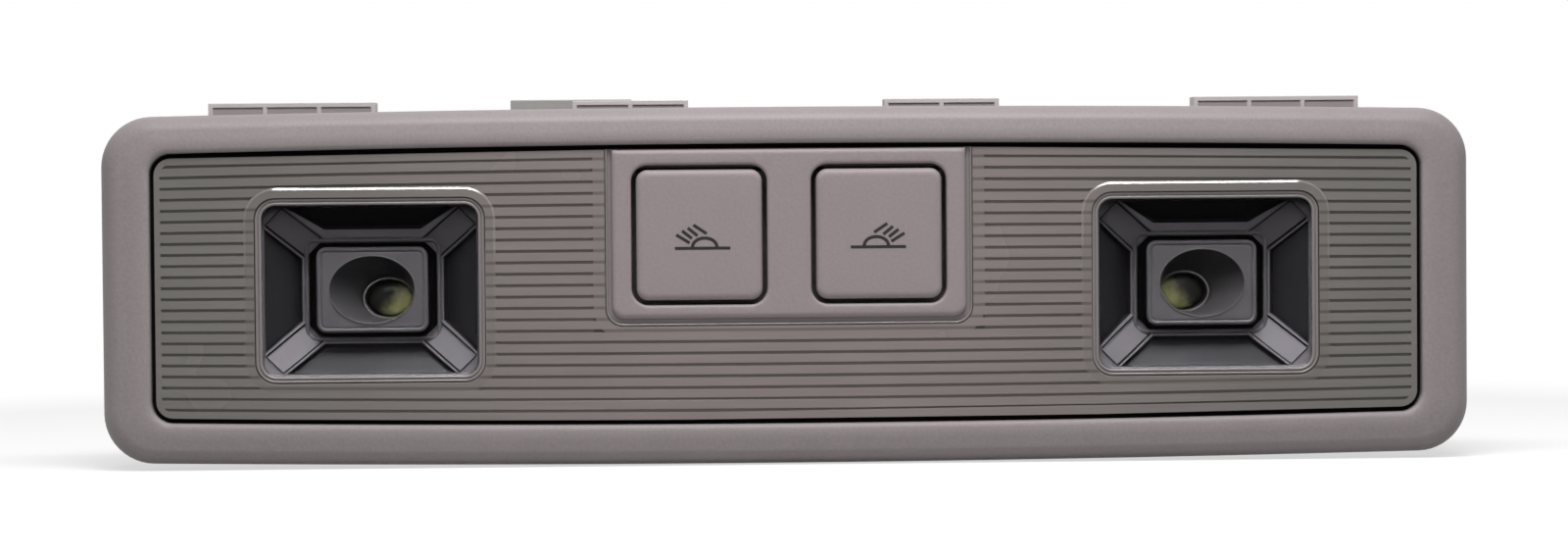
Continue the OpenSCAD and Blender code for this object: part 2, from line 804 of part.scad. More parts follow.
module circuit_board() {
    color("#2f6b46") stand_up() difference() {
        translate([0, open_y, 0]) round_block(board_hw, board_hh, 1, board_back, board_top);
        screw_holes(concat(screw_places, post_places), board_back - over, board_t + 2 * over);
    }
}

module push_switch(side) {
    color("#222222") stand_up() translate([side * button_x, button_y, board_top]) difference() {
        span([-switch_w / 2, -switch_w / 2, 0], [switch_w / 2, switch_w / 2, switch_h]);
        translate([0, 0, 0.5]) cylinder(h = switch_h, r = plunger_r + plunger_gap);
    }
}

// Each plunger has room below it for the travel
module plunger(side) {
    low = 0.5 + button_travel + 0.2;
    color("#e6e2d8") stand_up() translate([side * button_x, button_y, board_top + low])
        cylinder(h = switch_h + plunger_rise - low, r = plunger_r);
}

// The header hangs behind the board, and its socket opens upwards
header_low = open_y + board_hh - plug_seat;
socket_low = plug_top - socket_d;
socket_hw = plug_w / 2 - plug_wall;
socket_front = board_back - plug_wall;
socket_back = board_back - plug_d + plug_wall;
pin_z = (socket_front + socket_back) / 2;
pin_reach = 4.6;
pin_count = 6;
pin_places = [for (i = [0:pin_count - 1]) (i - (pin_count - 1) / 2) * pin_pitch];

module connector_header() {
    hw = plug_w / 2;
    high = plug_top + over;
    latch_hw = 2.2;
    latch_low = plug_top - 3.4;
    pin_room = pin_w / 2 + 0.05;
    color("#979591") stand_up() translate([-plug_x, 0, 0]) difference() {
        span([-hw, header_low, board_back - plug_d], [hw, plug_top, board_back]);
        span([-socket_hw, socket_low, socket_back], [socket_hw, high, socket_front]);
        span([-latch_hw, latch_low, socket_back - plug_wall - over], [latch_hw, high, socket_back + over]);
        for (x = pin_places)
            span([x - pin_room, header_low - over, pin_z - pin_room],
                 [x + pin_room, socket_low + over, pin_z + pin_room]);
    }
}

module connector_pins() {
    half = pin_w / 2;
    bend = header_low - pin_w;
    color("#c8b070") stand_up() translate([-plug_x, 0, 0]) for (x = pin_places) {
        span([x - half, bend, pin_z - half], [x + half, socket_low + pin_reach, pin_z + half]);
        span([x - half, bend, pin_z - half], [x + half, bend + pin_w, board_back]);
    }
}

// The chip hangs behind the board, with a can on either side and resistors above it
chip_x = pod_w * 0.19;
can_x = chip_w / 2 + can_r * 1.1 + 1;
can_y = -pod_h / 4;
resistor_gap = 3;
resistor_y = chip_h / 2 + resistor_gap + resistor_w;

module driver_chip() {
    lead_w = chip_pitch * 0.4;
    legs = floor((chip_w / chip_pitch - 1) / 2);
    color("#1c1c1c") stand_up() translate([chip_x, 0, board_back]) {
        span([-chip_w / 2, -chip_h / 2, -chip_t - 0.2], [chip_w / 2, chip_h / 2, -0.2]);
        for (i = [-legs:legs], sy = [-1, 1])
            translate([i * chip_pitch, sy * chip_h / 2, 0])
                span([-lead_w / 2, -1.2, -chip_t / 2], [lead_w / 2, 1.2, 0]);
    }
}

module capacitors() {
    color("#b8bcc0") stand_up() for (sx = [-1, 1]) translate([chip_x + sx * can_x, can_y, board_back]) {
        span([-can_r * 1.1, -can_r * 1.1, -1], [can_r * 1.1, can_r * 1.1, 0]);
        translate([0, 0, -can_h]) cylinder(h = can_h - 0.8, r = can_r);
    }
}

module resistors() {
    pitch = resistor_w * 2.5;
    near_chip = [for (i = [-2:2]) [chip_x + i * pitch, resistor_y]];
    near_lamps = [for (sx = [-1, 1], i = [-1:1]) [sx * (window_x + i * pitch), resistor_y]];
    color("#2a2a2c") stand_up() for (place = concat(near_chip, near_lamps))
        translate([place[0], place[1], board_back])
            span([-resistor_w / 2, -resistor_w, -resistor_t], [resistor_w / 2, resistor_w, 0]);
}

// Left end, right end and number of ribs of each hook tab
hook_far = bezel_w / 2 - hook_end;
hooks = [
    [-hook_far, hook_long - hook_far, 2], [-hook_inner - hook_short, -hook_inner, 1],
    [hook_inner, hook_inner + hook_short, 1], [hook_far - hook_long, hook_far, 2]
];

// Each tab has shallow cells in its front, and is open at its back up to the same web
module hook_tabs() {
    wall_y = open_y + open_h / 2 - housing_inset - 0.6;
    cell_low = open_y + open_h / 2 + edge_bow + 1;
    web = hook_z - hook_cell;
    for (hook = hooks) {
        cells = hook[2] + 1;
        cell_w = (hook[1] - hook[0] - hook_wall) / cells;
        difference() {
            span([hook[0], wall_y, hook_z - hook_d], [hook[1], hook_top, hook_z]);
            for (i = [0:cells - 1], depth = [[web, hook_z + over], [hook_z - hook_d - over, web - hook_wall]])
                span([hook[0] + hook_wall + i * cell_w, cell_low, depth[0]],
                     [hook[0] + (i + 1) * cell_w, hook_top - hook_wall, depth[1]]);
        }
    }
}

// Wedges that hold the rear edge of the bezel's skirt
module snap_lugs() {
    lug_w = 9;
    lug_d = 2.6;
    front = -skirt_depth - 0.1;
    out = 1.3;
    profile = [[0, 0], [-out - 0.3, 0], [-out - 0.3, -0.8], [0, -lug_d]];
    side_x = open_w / 2 - housing_inset;
    for (x = [-open_w / 4, 0, open_w / 4]) {
        y = open_y - (open_h / 2 - housing_inset) * bow_share(x, side_x, open_h / 2 - housing_inset);
        translate([x - lug_w / 2, y + 0.3, front]) rotate([90, 0, 90])
            linear_extrude(lug_w) polygon(profile);
    }
    for (side = [-1, 1])
        translate([side * (side_x - 0.3), open_y, front]) rotate([90, 0, side > 0 ? 180 : 0])
            translate([0, 0, -lug_w / 2]) linear_extrude(lug_w) polygon(profile);
}

module housing_posts(r, low_end) {
    for (place = screw_places)
        translate([place[0], place[1], low_end]) cylinder(h = board_back - low_end, r = r);
}

// The outside of the housing, with a chamfer round its back
module housing_shell() {
    stack_of_loops([
        at_height(inset_loop(housing_inset + housing_edge), -housing_depth),
        at_height(inset_loop(housing_inset), housing_edge - housing_depth),
        at_height(inset_loop(housing_inset), ledge_back)
    ]);
}

// The deep middle, moved inwards by a wall and with its back moved in by a floor
module pod(wall, floor_t) {
    low = floor_t - pod_depth;
    high = floor_t - housing_depth + over;
    translate([0, open_y, 0]) drafted_block(pod_w / 2 - wall, pod_h / 2 - wall, pod_r - wall, low, high);
}

module rear_housing() {
    plug_room = plug_w / 2 + 0.3;
    vent_x = (pod_w / 2 + board_hw) / 2;
    color("#8b8384") stand_up() difference() {
        union() {
            difference() {
                union() {
                    housing_shell();
                    pod(0, 0);
                }
                inset_slab(cavity_inset, housing_floor - housing_depth, ledge_back + over);
                pod(housing_wall, housing_floor);
            }
            housing_posts(post_r, -housing_depth + 0.4);
            for (x = [-pod_w * 0.41, pod_w * 0.41])
                span([x - 1, open_y - pod_h / 2 + 1, -pod_depth + 1], [x + 1, open_y + pod_h / 6, board_back]);
            for (i = [-2:2])
                span([i * pod_w / 6 - rib_w / 2, open_y - pod_h / 2 + 2, -pod_depth - rib_h],
                     [i * pod_w / 6 + rib_w / 2, open_y + pod_h / 2 - 2, -pod_depth + 0.2]);
            hook_tabs();
            snap_lugs();
        }
        housing_posts(screw_r + screw_gap, -housing_depth + 1.4);
        translate([-plug_x, 0, 0])
            span([-plug_room, header_low - 1, board_back - plug_d - 0.3],
                 [plug_room, plug_top + 5, hook_z - hook_d - 0.4]);
        for (side = [-1, 1], i = [-2:2])
            translate([side * vent_x + i * vent_pitch, open_y, -housing_depth])
                span([-vent_w / 2, -vent_l / 2, -over], [vent_w / 2, vent_l / 2, housing_floor + over]);
    }
}

// A sheet metal spring: one leg lies on the lower wall, and the other slopes out and back to
// hold the edge of the cut-out
module spring_clip(side) {
    housing_hh = open_h / 2 - housing_inset;
    wall = open_y - housing_hh * bow_share(clip_x - clip_w / 2, open_w / 2 - housing_inset, housing_hh) - 0.15;
    t = clip_t;
    top = -skirt_depth - 2.2;
    low = housing_edge + t - housing_depth;
    knee = top - 2.7;
    out = wall - 4.4;
    tip = wall - 3.1;
    color("#a9adb1") stand_up() translate([side * clip_x - clip_w / 2, 0, 0]) rotate([90, 0, 90])
        linear_extrude(clip_w) polygon([
            [wall, top], [wall, low - t], [wall - 0.9, low - t], [out - t, knee], [tip - t, top + 0.7],
            [tip, top + 0.4], [out, knee + 0.1], [wall - t - 0.3, low + 0.6], [wall - t, low + 0.9],
            [wall - t, top]
        ]);
}

// A screw with its head at the given height, which points away from its head along -z
module screw(place, head_z, length, way) {
    translate([place[0], place[1], head_z]) scale([1, 1, way]) {
        difference() {
            cylinder(h = head_h, r = head_r);
            for (turn = [0, 90]) rotate(turn)
                span([-head_r * 0.6, -head_r / 8, head_h * 0.55], [head_r * 0.6, head_r / 8, head_h + over]);
        }
        translate([0, 0, -length]) cylinder(h = length, r = screw_r);
    }
}

module board_screws() {
    shank = tray_t + board_t + screw_grip / 2;
    color("#b5b5b0") stand_up() for (place = screw_places) screw(place, tray_floor, shank, 1);
}

module plate_screws() {
    shank = tray_t + board_t + screw_grip;
    color("#b5b5b0") stand_up() for (place = post_places) screw(place, board_back, shank, -1);
}

bezel();
lens_cover();
window_pane(-1);  // window_left
window_pane(1);  // window_right
switch_plate();
button(-1);  // button_left
button(1);  // button_right
shade(-1);  // shade_left
shade(1);  // shade_right
spot_reflector(-1);  // spot_reflector_left
spot_reflector(1);  // spot_reflector_right
spot_led(-1);  // spot_led_left
spot_led(1);  // spot_led_right
reflector_tray();
ambient_leds();
circuit_board();
push_switch(-1);  // switch_left
push_switch(1);  // switch_right
plunger(-1);  // plunger_left
plunger(1);  // plunger_right
connector_header();
connector_pins();
driver_chip();
capacitors();
resistors();
rear_housing();
spring_clip(-1);  // spring_clip_left
spring_clip(1);  // spring_clip_right
board_screws();
plate_screws();
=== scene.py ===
"""Overhead lamp of a car, with a grooved lens, two reading lamps and two push buttons.

The visible pieces are modelled with bmesh operators in millimetres on the lamp's face (x to the right,
y up the face, z out of it) and are then stood up into the shared frame. What lies behind the face takes
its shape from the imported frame, with its edges softened.
"""
from __future__ import annotations

import json
import logging
import math
from contextlib import contextmanager
from dataclasses import dataclass, replace
from enum import Enum
from functools import cache
from typing import Callable, Iterable, Iterator, Sequence

import bmesh
import bpy
from mathutils import Matrix, Vector
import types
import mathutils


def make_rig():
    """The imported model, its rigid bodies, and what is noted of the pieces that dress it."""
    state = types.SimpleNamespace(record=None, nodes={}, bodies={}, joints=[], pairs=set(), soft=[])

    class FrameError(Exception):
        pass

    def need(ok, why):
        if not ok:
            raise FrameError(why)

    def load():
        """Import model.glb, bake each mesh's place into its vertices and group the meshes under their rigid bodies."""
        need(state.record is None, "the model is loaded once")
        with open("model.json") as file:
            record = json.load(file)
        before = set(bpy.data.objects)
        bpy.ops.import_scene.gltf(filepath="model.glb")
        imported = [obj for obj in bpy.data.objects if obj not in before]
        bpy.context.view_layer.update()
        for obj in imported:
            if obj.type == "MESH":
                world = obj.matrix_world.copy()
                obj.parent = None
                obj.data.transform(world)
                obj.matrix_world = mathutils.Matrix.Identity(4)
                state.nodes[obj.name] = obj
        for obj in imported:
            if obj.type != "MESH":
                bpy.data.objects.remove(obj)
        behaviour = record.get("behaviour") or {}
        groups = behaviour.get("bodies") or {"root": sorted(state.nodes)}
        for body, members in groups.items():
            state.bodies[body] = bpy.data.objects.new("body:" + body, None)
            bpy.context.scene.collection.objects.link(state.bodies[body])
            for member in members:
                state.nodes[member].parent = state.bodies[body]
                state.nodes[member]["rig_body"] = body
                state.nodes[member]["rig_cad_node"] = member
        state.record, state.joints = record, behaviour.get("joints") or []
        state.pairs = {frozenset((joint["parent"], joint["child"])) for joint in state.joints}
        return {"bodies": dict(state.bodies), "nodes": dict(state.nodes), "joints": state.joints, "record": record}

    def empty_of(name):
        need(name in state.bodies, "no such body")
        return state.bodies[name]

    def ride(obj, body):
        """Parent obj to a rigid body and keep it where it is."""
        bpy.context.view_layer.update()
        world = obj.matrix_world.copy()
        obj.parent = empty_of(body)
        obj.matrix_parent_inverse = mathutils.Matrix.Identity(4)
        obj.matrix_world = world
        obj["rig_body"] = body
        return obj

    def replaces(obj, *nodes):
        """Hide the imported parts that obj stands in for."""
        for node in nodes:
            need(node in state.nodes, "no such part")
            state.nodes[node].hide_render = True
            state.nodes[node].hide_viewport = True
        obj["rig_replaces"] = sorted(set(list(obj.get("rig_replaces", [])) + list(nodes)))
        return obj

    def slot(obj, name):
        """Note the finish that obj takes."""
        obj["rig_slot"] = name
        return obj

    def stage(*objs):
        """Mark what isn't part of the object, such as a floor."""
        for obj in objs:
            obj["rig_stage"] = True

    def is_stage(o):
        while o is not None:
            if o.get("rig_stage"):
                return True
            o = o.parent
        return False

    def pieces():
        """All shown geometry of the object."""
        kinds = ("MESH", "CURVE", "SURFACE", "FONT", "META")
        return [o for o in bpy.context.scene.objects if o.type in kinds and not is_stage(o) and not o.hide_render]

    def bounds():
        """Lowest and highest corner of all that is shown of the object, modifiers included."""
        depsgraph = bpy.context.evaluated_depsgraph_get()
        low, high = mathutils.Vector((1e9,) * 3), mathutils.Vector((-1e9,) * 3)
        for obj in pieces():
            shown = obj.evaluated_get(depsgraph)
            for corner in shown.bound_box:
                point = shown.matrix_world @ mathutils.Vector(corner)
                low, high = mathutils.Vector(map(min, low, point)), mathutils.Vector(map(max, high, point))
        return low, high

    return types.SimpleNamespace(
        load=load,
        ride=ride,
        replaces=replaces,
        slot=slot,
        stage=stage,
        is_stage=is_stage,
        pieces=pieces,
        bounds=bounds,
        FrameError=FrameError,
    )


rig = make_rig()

LOG = logging.getLogger("overhead_lamp")
MM = 0.001
STAND_UP = Matrix.Rotation(math.pi / 2, 4, "X") @ Matrix.Scale(MM, 4)
LAMP = "lamp"
WHITE = (1, 1, 1, 1)
LEAST_RADIUS = 0.35
Edges = list[bmesh.types.BMEdge]
Faces = list[bmesh.types.BMFace]
Number = float | int
Colour = tuple[int, int, int]
Pair = tuple[float, float]
Section = Sequence[Pair]


def linear(colour: Sequence[Number]) -> tuple[float, float, float, float]:
    """Turn a screen colour into the linear one that a shader takes.

    Args:
        colour: Red, green and blue from 0 to 255.

    Returns:
        Linear red, green, blue and an alpha of 1.
    """
    shares = [value / 255 for value in colour]
    red, green, blue = (s / 12.92 if s <= 0.04045 else ((s + 0.055) / 1.055) ** 2.4 for s in shares)
    return red, green, blue, 1.0


class Side(Enum):
    """The two ends of the lamp, as the sign of x on the face."""

    LEFT = -1
    RIGHT = 1

    @property
    def word(self) -> str:
        """The side's name in lower case."""
        return self.name.lower()

    @property
    def key_body(self) -> str:
        """The moving body that the side's push button rides on."""
        return f"{self.word}_key"


def math_node(operation: str, swapped: bool = False) -> Callable[[Socket, Socket | Number], Socket]:
    """Make an arithmetic method of a socket.

    Args:
        operation: What the Math node does.
        swapped: Whether the other value comes first.

    Returns:
        A method that adds the node and returns its result.
    """
    def method(self: Socket, other: Socket | Number) -> Socket:
        """Add the node."""
        values = (other, self) if swapped else (self, other)
        return self.graph.out("ShaderNodeMath", {"operation": operation}, dict(enumerate(values)))

    return method


class Socket:
    """A shader output that takes part in arithmetic. The sign | takes the larger of two values."""

    __add__ = math_node("ADD")
    __radd__ = math_node("ADD", swapped=True)
    __sub__ = math_node("SUBTRACT")
    __rsub__ = math_node("SUBTRACT", swapped=True)
    __mul__ = math_node("MULTIPLY")
    __truediv__ = math_node("DIVIDE")
    __pow__ = math_node("POWER")
    __or__ = math_node("MAXIMUM")
    fold = math_node("PINGPONG")

    def __init__(self, graph: Graph, link: bpy.types.NodeSocket) -> None:
        """Keep the node tree and the output that the value comes from."""
        self.graph = graph
        self.link = link

    def ramp(self, low: float, high: float) -> Socket:
        """Rise smoothly from 0 at one value to 1 at another."""
        settings = {"interpolation_type": "SMOOTHSTEP"}
        return self.graph.out("ShaderNodeMapRange", settings, {0: self, 1: low, 2: high})

    def swing(self, amount: float) -> Socket:
        """Turn a value of 0 to 1 into one that varies about 0 by an amount in all."""
        return (self - 0.5) * amount


class Graph:
    """The node tree of one material, or of the world."""

    def __init__(self, name: str, world: bool = False) -> None:
        """Start a material or a world with an empty node tree.

        Args:
            name: Its name.
            world: Whether it is a world.
        """
        self.owner = (bpy.data.worlds if world else bpy.data.materials).new(name)
        self.owner.use_nodes = True
        self.tree = self.owner.node_tree
        self.tree.nodes.clear()

    def node(self, kind: str, settings: dict | None = None, sockets: dict | None = None) -> bpy.types.Node:
        """Add a node.

        Args:
            kind: The node's type.
            settings: Its properties, which are set first.
            sockets: Values or links for its inputs, by name or number.

        Returns:
            The node.
        """
        node = self.tree.nodes.new(kind)
        for name, value in (settings or {}).items():
            setattr(node, name, value)
        for key, value in (sockets or {}).items():
            if isinstance(value, Socket):
                self.tree.links.new(value.link, node.inputs[key])
            else:
                node.inputs[key].default_value = value
        return node

    def out(
        self, kind: str, settings: dict | None = None, sockets: dict | None = None, output: int | str = 0
    ) -> Socket:
        """Add a node and return one of its outputs."""
        return Socket(self, self.node(kind, settings, sockets).outputs[output])

    def place(self) -> Socket:
        """The point on the piece, in metres in the shared frame."""
        return self.out("ShaderNodeTexCoord", output="Object")

    def axis(self, name: str) -> Socket:
        """One coordinate of the point on the piece, in metres."""
        return self.out("ShaderNodeSeparateXYZ", sockets={0: self.place()}, output=name)

    def noise(self, size_mm: float, detail: float = 2.0, stretch: Sequence[float] = (1, 1, 1)) -> Socket:
        """Add cloudy noise on the piece.

        Args:
            size_mm: About how large its features are.
            detail: How many finer layers it has.
            stretch: The noise's scale along each axis.

        Returns:
            A value between 0 and 1.
        """
        vector = self.out("ShaderNodeMapping", {}, {"Vector": self.place(), "Scale": tuple(stretch)})
        sockets = {"Vector": vector, "Scale": 1 / (size_mm * MM), "Detail": detail, "Roughness": 0.55}
        return self.out("ShaderNodeTexNoise", {}, sockets)

    def cells(self, size_mm: float, **settings: str) -> Socket:
        """Add a pattern of cells of about the given size on the piece."""
        sockets = {"Vector": self.place(), "Scale": 1 / (size_mm * MM)}
        return self.out("ShaderNodeTexVoronoi", settings, sockets)

    def mix(self, share: Socket | Number, first: Socket | Sequence, second: Socket | Sequence) -> Socket:
        """Blend two colours."""
        settings = {"data_type": "RGBA"}
        return self.out("ShaderNodeMix", settings, {"Factor": share, 6: first, 7: second}, output=2)

    def scaled(self, colour: Socket | Sequence, factor: Socket | Number) -> Socket:
        """Make a colour lighter or darker by a factor."""
        vector = colour if isinstance(colour, Socket) else tuple(colour)[:3]
        return self.out("ShaderNodeVectorMath", {"operation": "SCALE"}, {0: vector, "Scale": factor})

    def bump(self, height: Socket, depth_mm: float) -> Socket:
        """Turn a height of 0 to 1 into a normal, with its full depth in millimetres."""
        return self.out("ShaderNodeBump", {}, {"Strength": 1.0, "Distance": depth_mm * MM, "Height": height})

    def attribute(self, name: str) -> Socket:
        """A number that the mesh carries."""
        return self.out("ShaderNodeAttribute", {"attribute_name": name}, output="Fac")

    def ray(self, kind: str) -> Socket:
        """Whether a ray is of a kind, such as Camera or Shadow."""
        return self.out("ShaderNodeLightPath", output=f"Is {kind} Ray")

    def principled(self, sockets: dict) -> Socket:
        """Add the main surface shader."""
        return self.out("ShaderNodeBsdfPrincipled", {}, sockets)

    def blend(self, share: Socket, first: Socket, second: Socket) -> Socket:
        """Blend two shaders."""
        return self.out("ShaderNodeMixShader", {}, {0: share, 1: first, 2: second})

    def finish(self, surface: Socket) -> bpy.types.Material | bpy.types.World:
        """Send a shader to the surface output and return what the tree belongs to."""
        kind = "World" if isinstance(self.owner, bpy.types.World) else "Material"
        self.node(f"ShaderNodeOutput{kind}", {}, {"Surface": surface})
        return self.owner


@dataclass(frozen=True)
class Finish:
    """How a piece looks. Each kind of finish builds its own surface."""

    name: str

    @cache
    def material(self) -> bpy.types.Material:
        """Build the material, once."""
        graph = Graph(self.name)
        return graph.finish(self.surface(graph))

    def surface(self, graph: Graph) -> Socket:
        """Build the surface shader in a material's nodes."""
        raise NotImplementedError


@dataclass(frozen=True)
class Grained(Finish):
    """Moulded plastic with a fine leather-like grain and faint mottling."""

    colour: Colour
    grain_mm: float = 0.5
    grain_depth: float = 0.03
    speckle: float = 0.16
    mottle: float = 0.07
    roughness: float = 0.52
    specular: float = 0.35

    def surface(self, graph: Graph) -> Socket:
        """Build the surface shader in a material's nodes."""
        grain = graph.noise(self.grain_mm, 3.0)
        cells = graph.cells(self.grain_mm * 1.6, feature="SMOOTH_F1")
        tone = 1 + grain.swing(self.speckle) + graph.noise(9.0).swing(self.mottle)
        return graph.principled({
            "Base Color": graph.scaled(linear(self.colour), tone),
            "Roughness": self.roughness + grain.swing(0.16),
            "Normal": graph.bump(grain * 0.6 + cells * 0.4, self.grain_depth),
            "Specular IOR Level": self.specular,
        })


@dataclass(frozen=True)
class SmokedLens(Finish):
    """Smoked, slightly milky plastic with moulding streaks along its grooves, painted lighter in the middle than at
    the ends as painted light.
    """

    # The middle colour is lighter than the ends: painted light.
    middle: Colour
    ends: Colour
    roughness: float = 0.26
    ripple: float = 0.0
    framed: bool = False
    line_edge: Pair = (0.16, 0.34)
    line_tone: float = 0.37

    def lines(self, graph: Graph, reach: Socket) -> Socket:
        """Painted shade of the lens's grooves, as dark lines which bow with its long edges and run on over its plain
        borders.

        Args:
            graph: The material's nodes.
            reach: The distance from the lamp's middle, as a share of the lens's half length.

        Returns:
            1 on a line and 0 beside it.
        """
        opening = FACE.opening
        up = graph.axis("Z") / MM
        bowed = (up - opening.y) / (1 + (1 - reach * reach) * (opening.bulge / opening.half_h))
        line = 1 - bowed.fold(FACE.groove_pitch / 2).ramp(*self.line_edge)
        soft = 0.1
        if self.framed:
            return line * (1 - up.ramp(FACE.shoulder_top - soft, FACE.shoulder_top + soft))
        beside = 1 - (reach * opening.half_w).ramp(FACE.border_x - soft, FACE.border_x + soft)
        return line * beside * up.ramp(FACE.border_y - soft, FACE.border_y + soft)

    def surface(self, graph: Graph) -> Socket:
        """Build the surface shader in a material's nodes."""
        along = graph.axis("X")
        reach = (along * along) ** 0.5 / (FACE.opening.half_w * MM)
        streaks = graph.noise(1.6, 3.0, (0.08, 1, 1))
        cloud = graph.noise(22.0)
        # Painted light: lighter towards the lamp's middle, darker towards its ends.
        body = graph.mix(reach.ramp(0.1, 1.0), linear(self.middle), linear(self.ends))
        tone = 1 + streaks.swing(0.22) + cloud.swing(0.14)
        # Painted shade: the groove lines darken the lens.
        tone = tone * (1 - self.lines(graph, reach) * self.line_tone)
        return graph.principled({
            "Base Color": graph.scaled(body, tone),
            "Roughness": self.roughness + cloud.swing(0.1),
            "Normal": graph.bump(streaks * 0.3 + graph.noise(3.5, 1.0) * 0.7, 0.012 + self.ripple),
            "Specular IOR Level": 0.5,
            "Coat Weight": 0.25,
            "Coat Roughness": 0.08 if self.framed else 0.24,
        })


@dataclass(frozen=True)
class ClearPane(Finish):
    """Clear plastic with a slight ripple, which lets light through to what lies behind it."""

    tint: Colour

    def surface(self, graph: Graph) -> Socket:
        """Build the surface shader in a material's nodes."""
        ripple = graph.noise(5.0, 1.0)
        glass = graph.principled({
            "Base Color": linear(self.tint),
            "Roughness": 0.02 + ripple * 0.03,
            "IOR": 1.45,
            "Transmission Weight": 1.0,
            "Specular IOR Level": 0.4,
            "Normal": graph.bump(ripple, 0.03),
        })
        clear = graph.out("ShaderNodeBsdfTransparent", {}, {"Color": linear(self.tint)})
        return graph.blend(graph.ray("Shadow"), glass, clear)


class Mark:
    """Numbers on a mesh that the well's finish reads: those in between blend two of its four tones. Several of them
    paint light or shade: the black mark, the upper panel and the strut grooves are painted shade, and the corner and
    bowl marks are painted highlights.
    """

    LAYER = "panel"
    # The light tone: lighter bands, which on the panels' shelf and on faces below the window's middle are also painted
    # light.
    BAND = -1.0
    BODY = 0.0
    PANEL = 1.0
    # Painted shade: black for the moat, where shade falls.
    BLACK = 2.0
    # Painted shade: the upper panel, which faces down, and the strut grooves, both nearly black.
    UPPER_PANEL = 1.85
    STRUT_GROOVE = 1.8
    # The struts' lighter band, also painted light below the window's middle.
    STRUT_FLOOR = -0.9
    # Painted highlights: the flange's corners, stronger on the lower ones.
    LOWER_CORNER = -0.85
    UPPER_CORNER = -0.2
    # Painted highlights: the bowl's lip and the ring round its hole.
    BOWL_MOUTH = -0.3
    BOWL_HOLE = -0.75


@dataclass(frozen=True)
class Well(Finish):
    """Dark satin moulding, with lighter bands and glossy panels; where it is marked it carries painted shade, black in
    its depths, and painted highlights in the light tone.
    """

    colour: Colour
    # The panels' own dark colour; on the bowl it is painted shade on the upper part.
    panel: Colour
    # The light tone: lighter bands, and painted highlights where marks paint light.
    band: Colour
    # Near black, for painted shade in the depths.
    depth: Colour = (2, 2, 3)

    def surface(self, graph: Graph) -> Socket:
        """Build the surface shader in a material's nodes."""
        mark = graph.attribute(Mark.LAYER)
        grain = graph.noise(0.5, 3.0)
        cloud = graph.noise(6.0)
        panel = mark.ramp(Mark.BODY, Mark.PANEL)
        # Painted shade: marks beyond the panel's fade to the near-black depth colour.
        black = mark.ramp(Mark.PANEL, Mark.BLACK)
        body = graph.mix(panel, linear(self.colour), linear(self.panel))
        # Light marks: lighter bands and painted highlights.
        light = graph.mix(mark.ramp(Mark.BODY, Mark.BAND), body, linear(self.band))
        deep = graph.mix(black, light, linear(self.depth))
        return graph.principled({
            "Base Color": graph.scaled(deep, 1 + grain.swing(0.2) + cloud.swing(0.2)),
            "Roughness": 0.42 + black * 0.3 + cloud.swing(0.12),
            "Coat Weight": (panel - black) * 0.2,
            "Coat Roughness": 0.26,
            "Normal": graph.bump(grain, 0.008),
            "Specular IOR Level": 0.25,
        })


@dataclass(frozen=True)
class Glow(Finish):
    """The yellow-green phosphor lens of a reading light, with painted light towards its inboard lower edge and painted
    shade on the rest.
    """

    deep: Colour
    bright: Colour
    centre: Pair
    reach: float
    inboard: int

    def surface(self, graph: Graph) -> Socket:
        """Build the surface shader in a material's nodes."""
        reach = self.reach * MM
        across = (graph.axis("X") - self.centre[0] * MM) * float(self.inboard) / reach
        up = (graph.axis("Z") - self.centre[1] * MM) / reach
        cloud = graph.noise(1.2)
        # Painted light: the phosphor is painted lighter towards its inboard lower edge.
        lean = across * 0.75 - up * 0.55 + cloud.swing(0.5)
        return graph.principled({
            "Base Color": graph.mix(lean.ramp(-0.25, 0.9), linear(self.deep), linear(self.bright)),
            "Roughness": 0.3 + cloud * 0.1,
            "Normal": graph.bump(cloud, 0.04),
            "Specular IOR Level": 0.4,
        })


@dataclass(frozen=True)
class Metal(Finish):
    """Bright metal with fine drawing lines."""

    colour: Colour
    roughness: float = 0.32
    lines: tuple[float, float, float] = (1, 1, 0.1)

    def surface(self, graph: Graph) -> Socket:
        """Build the surface shader in a material's nodes."""
        drawn = graph.noise(0.25, 3.0, self.lines)
        tone = 1 + drawn.swing(0.18) + graph.noise(4.0).swing(0.14)
        return graph.principled({
            "Base Color": graph.scaled(linear(self.colour), tone),
            "Metallic": 1.0,
            "Roughness": self.roughness + drawn.swing(0.2),
            "Normal": graph.bump(drawn, 0.006),
        })


@dataclass(frozen=True)
class CoatedBoard(Finish):
    """A circuit board: green coating over copper tracks, with a faint weave beneath."""

    colour: Colour
    track: Colour

    def surface(self, graph: Graph) -> Socket:
        """Build the surface shader in a material's nodes."""
        tracks = 1 - graph.cells(7, feature="DISTANCE_TO_EDGE").ramp(0.05, 0.075)
        weave = graph.noise(0.6)
        body = graph.mix(tracks * 0.8, linear(self.colour), linear(self.track))
        return graph.principled({
            "Base Color": graph.scaled(body, 1 + weave.swing(0.14)),
            "Roughness": 0.36 + weave.swing(0.1),
            "Normal": graph.bump(tracks + weave * 0.2, 0.04),
            "Coat Weight": 0.3,
        })


@dataclass(frozen=True)
class Print(Finish):
    """Dark ink printed on the buttons, slightly uneven."""

    colour: Colour

    def surface(self, graph: Graph) -> Socket:
        """Build the surface shader in a material's nodes."""
        uneven = graph.noise(0.5, 3.0)
        return graph.principled({
            "Base Color": graph.scaled(linear(self.colour), 0.8 + uneven * 0.6),
            "Roughness": 0.45 + uneven.swing(0.2),
            "Normal": graph.bump(uneven, 0.01),
        })


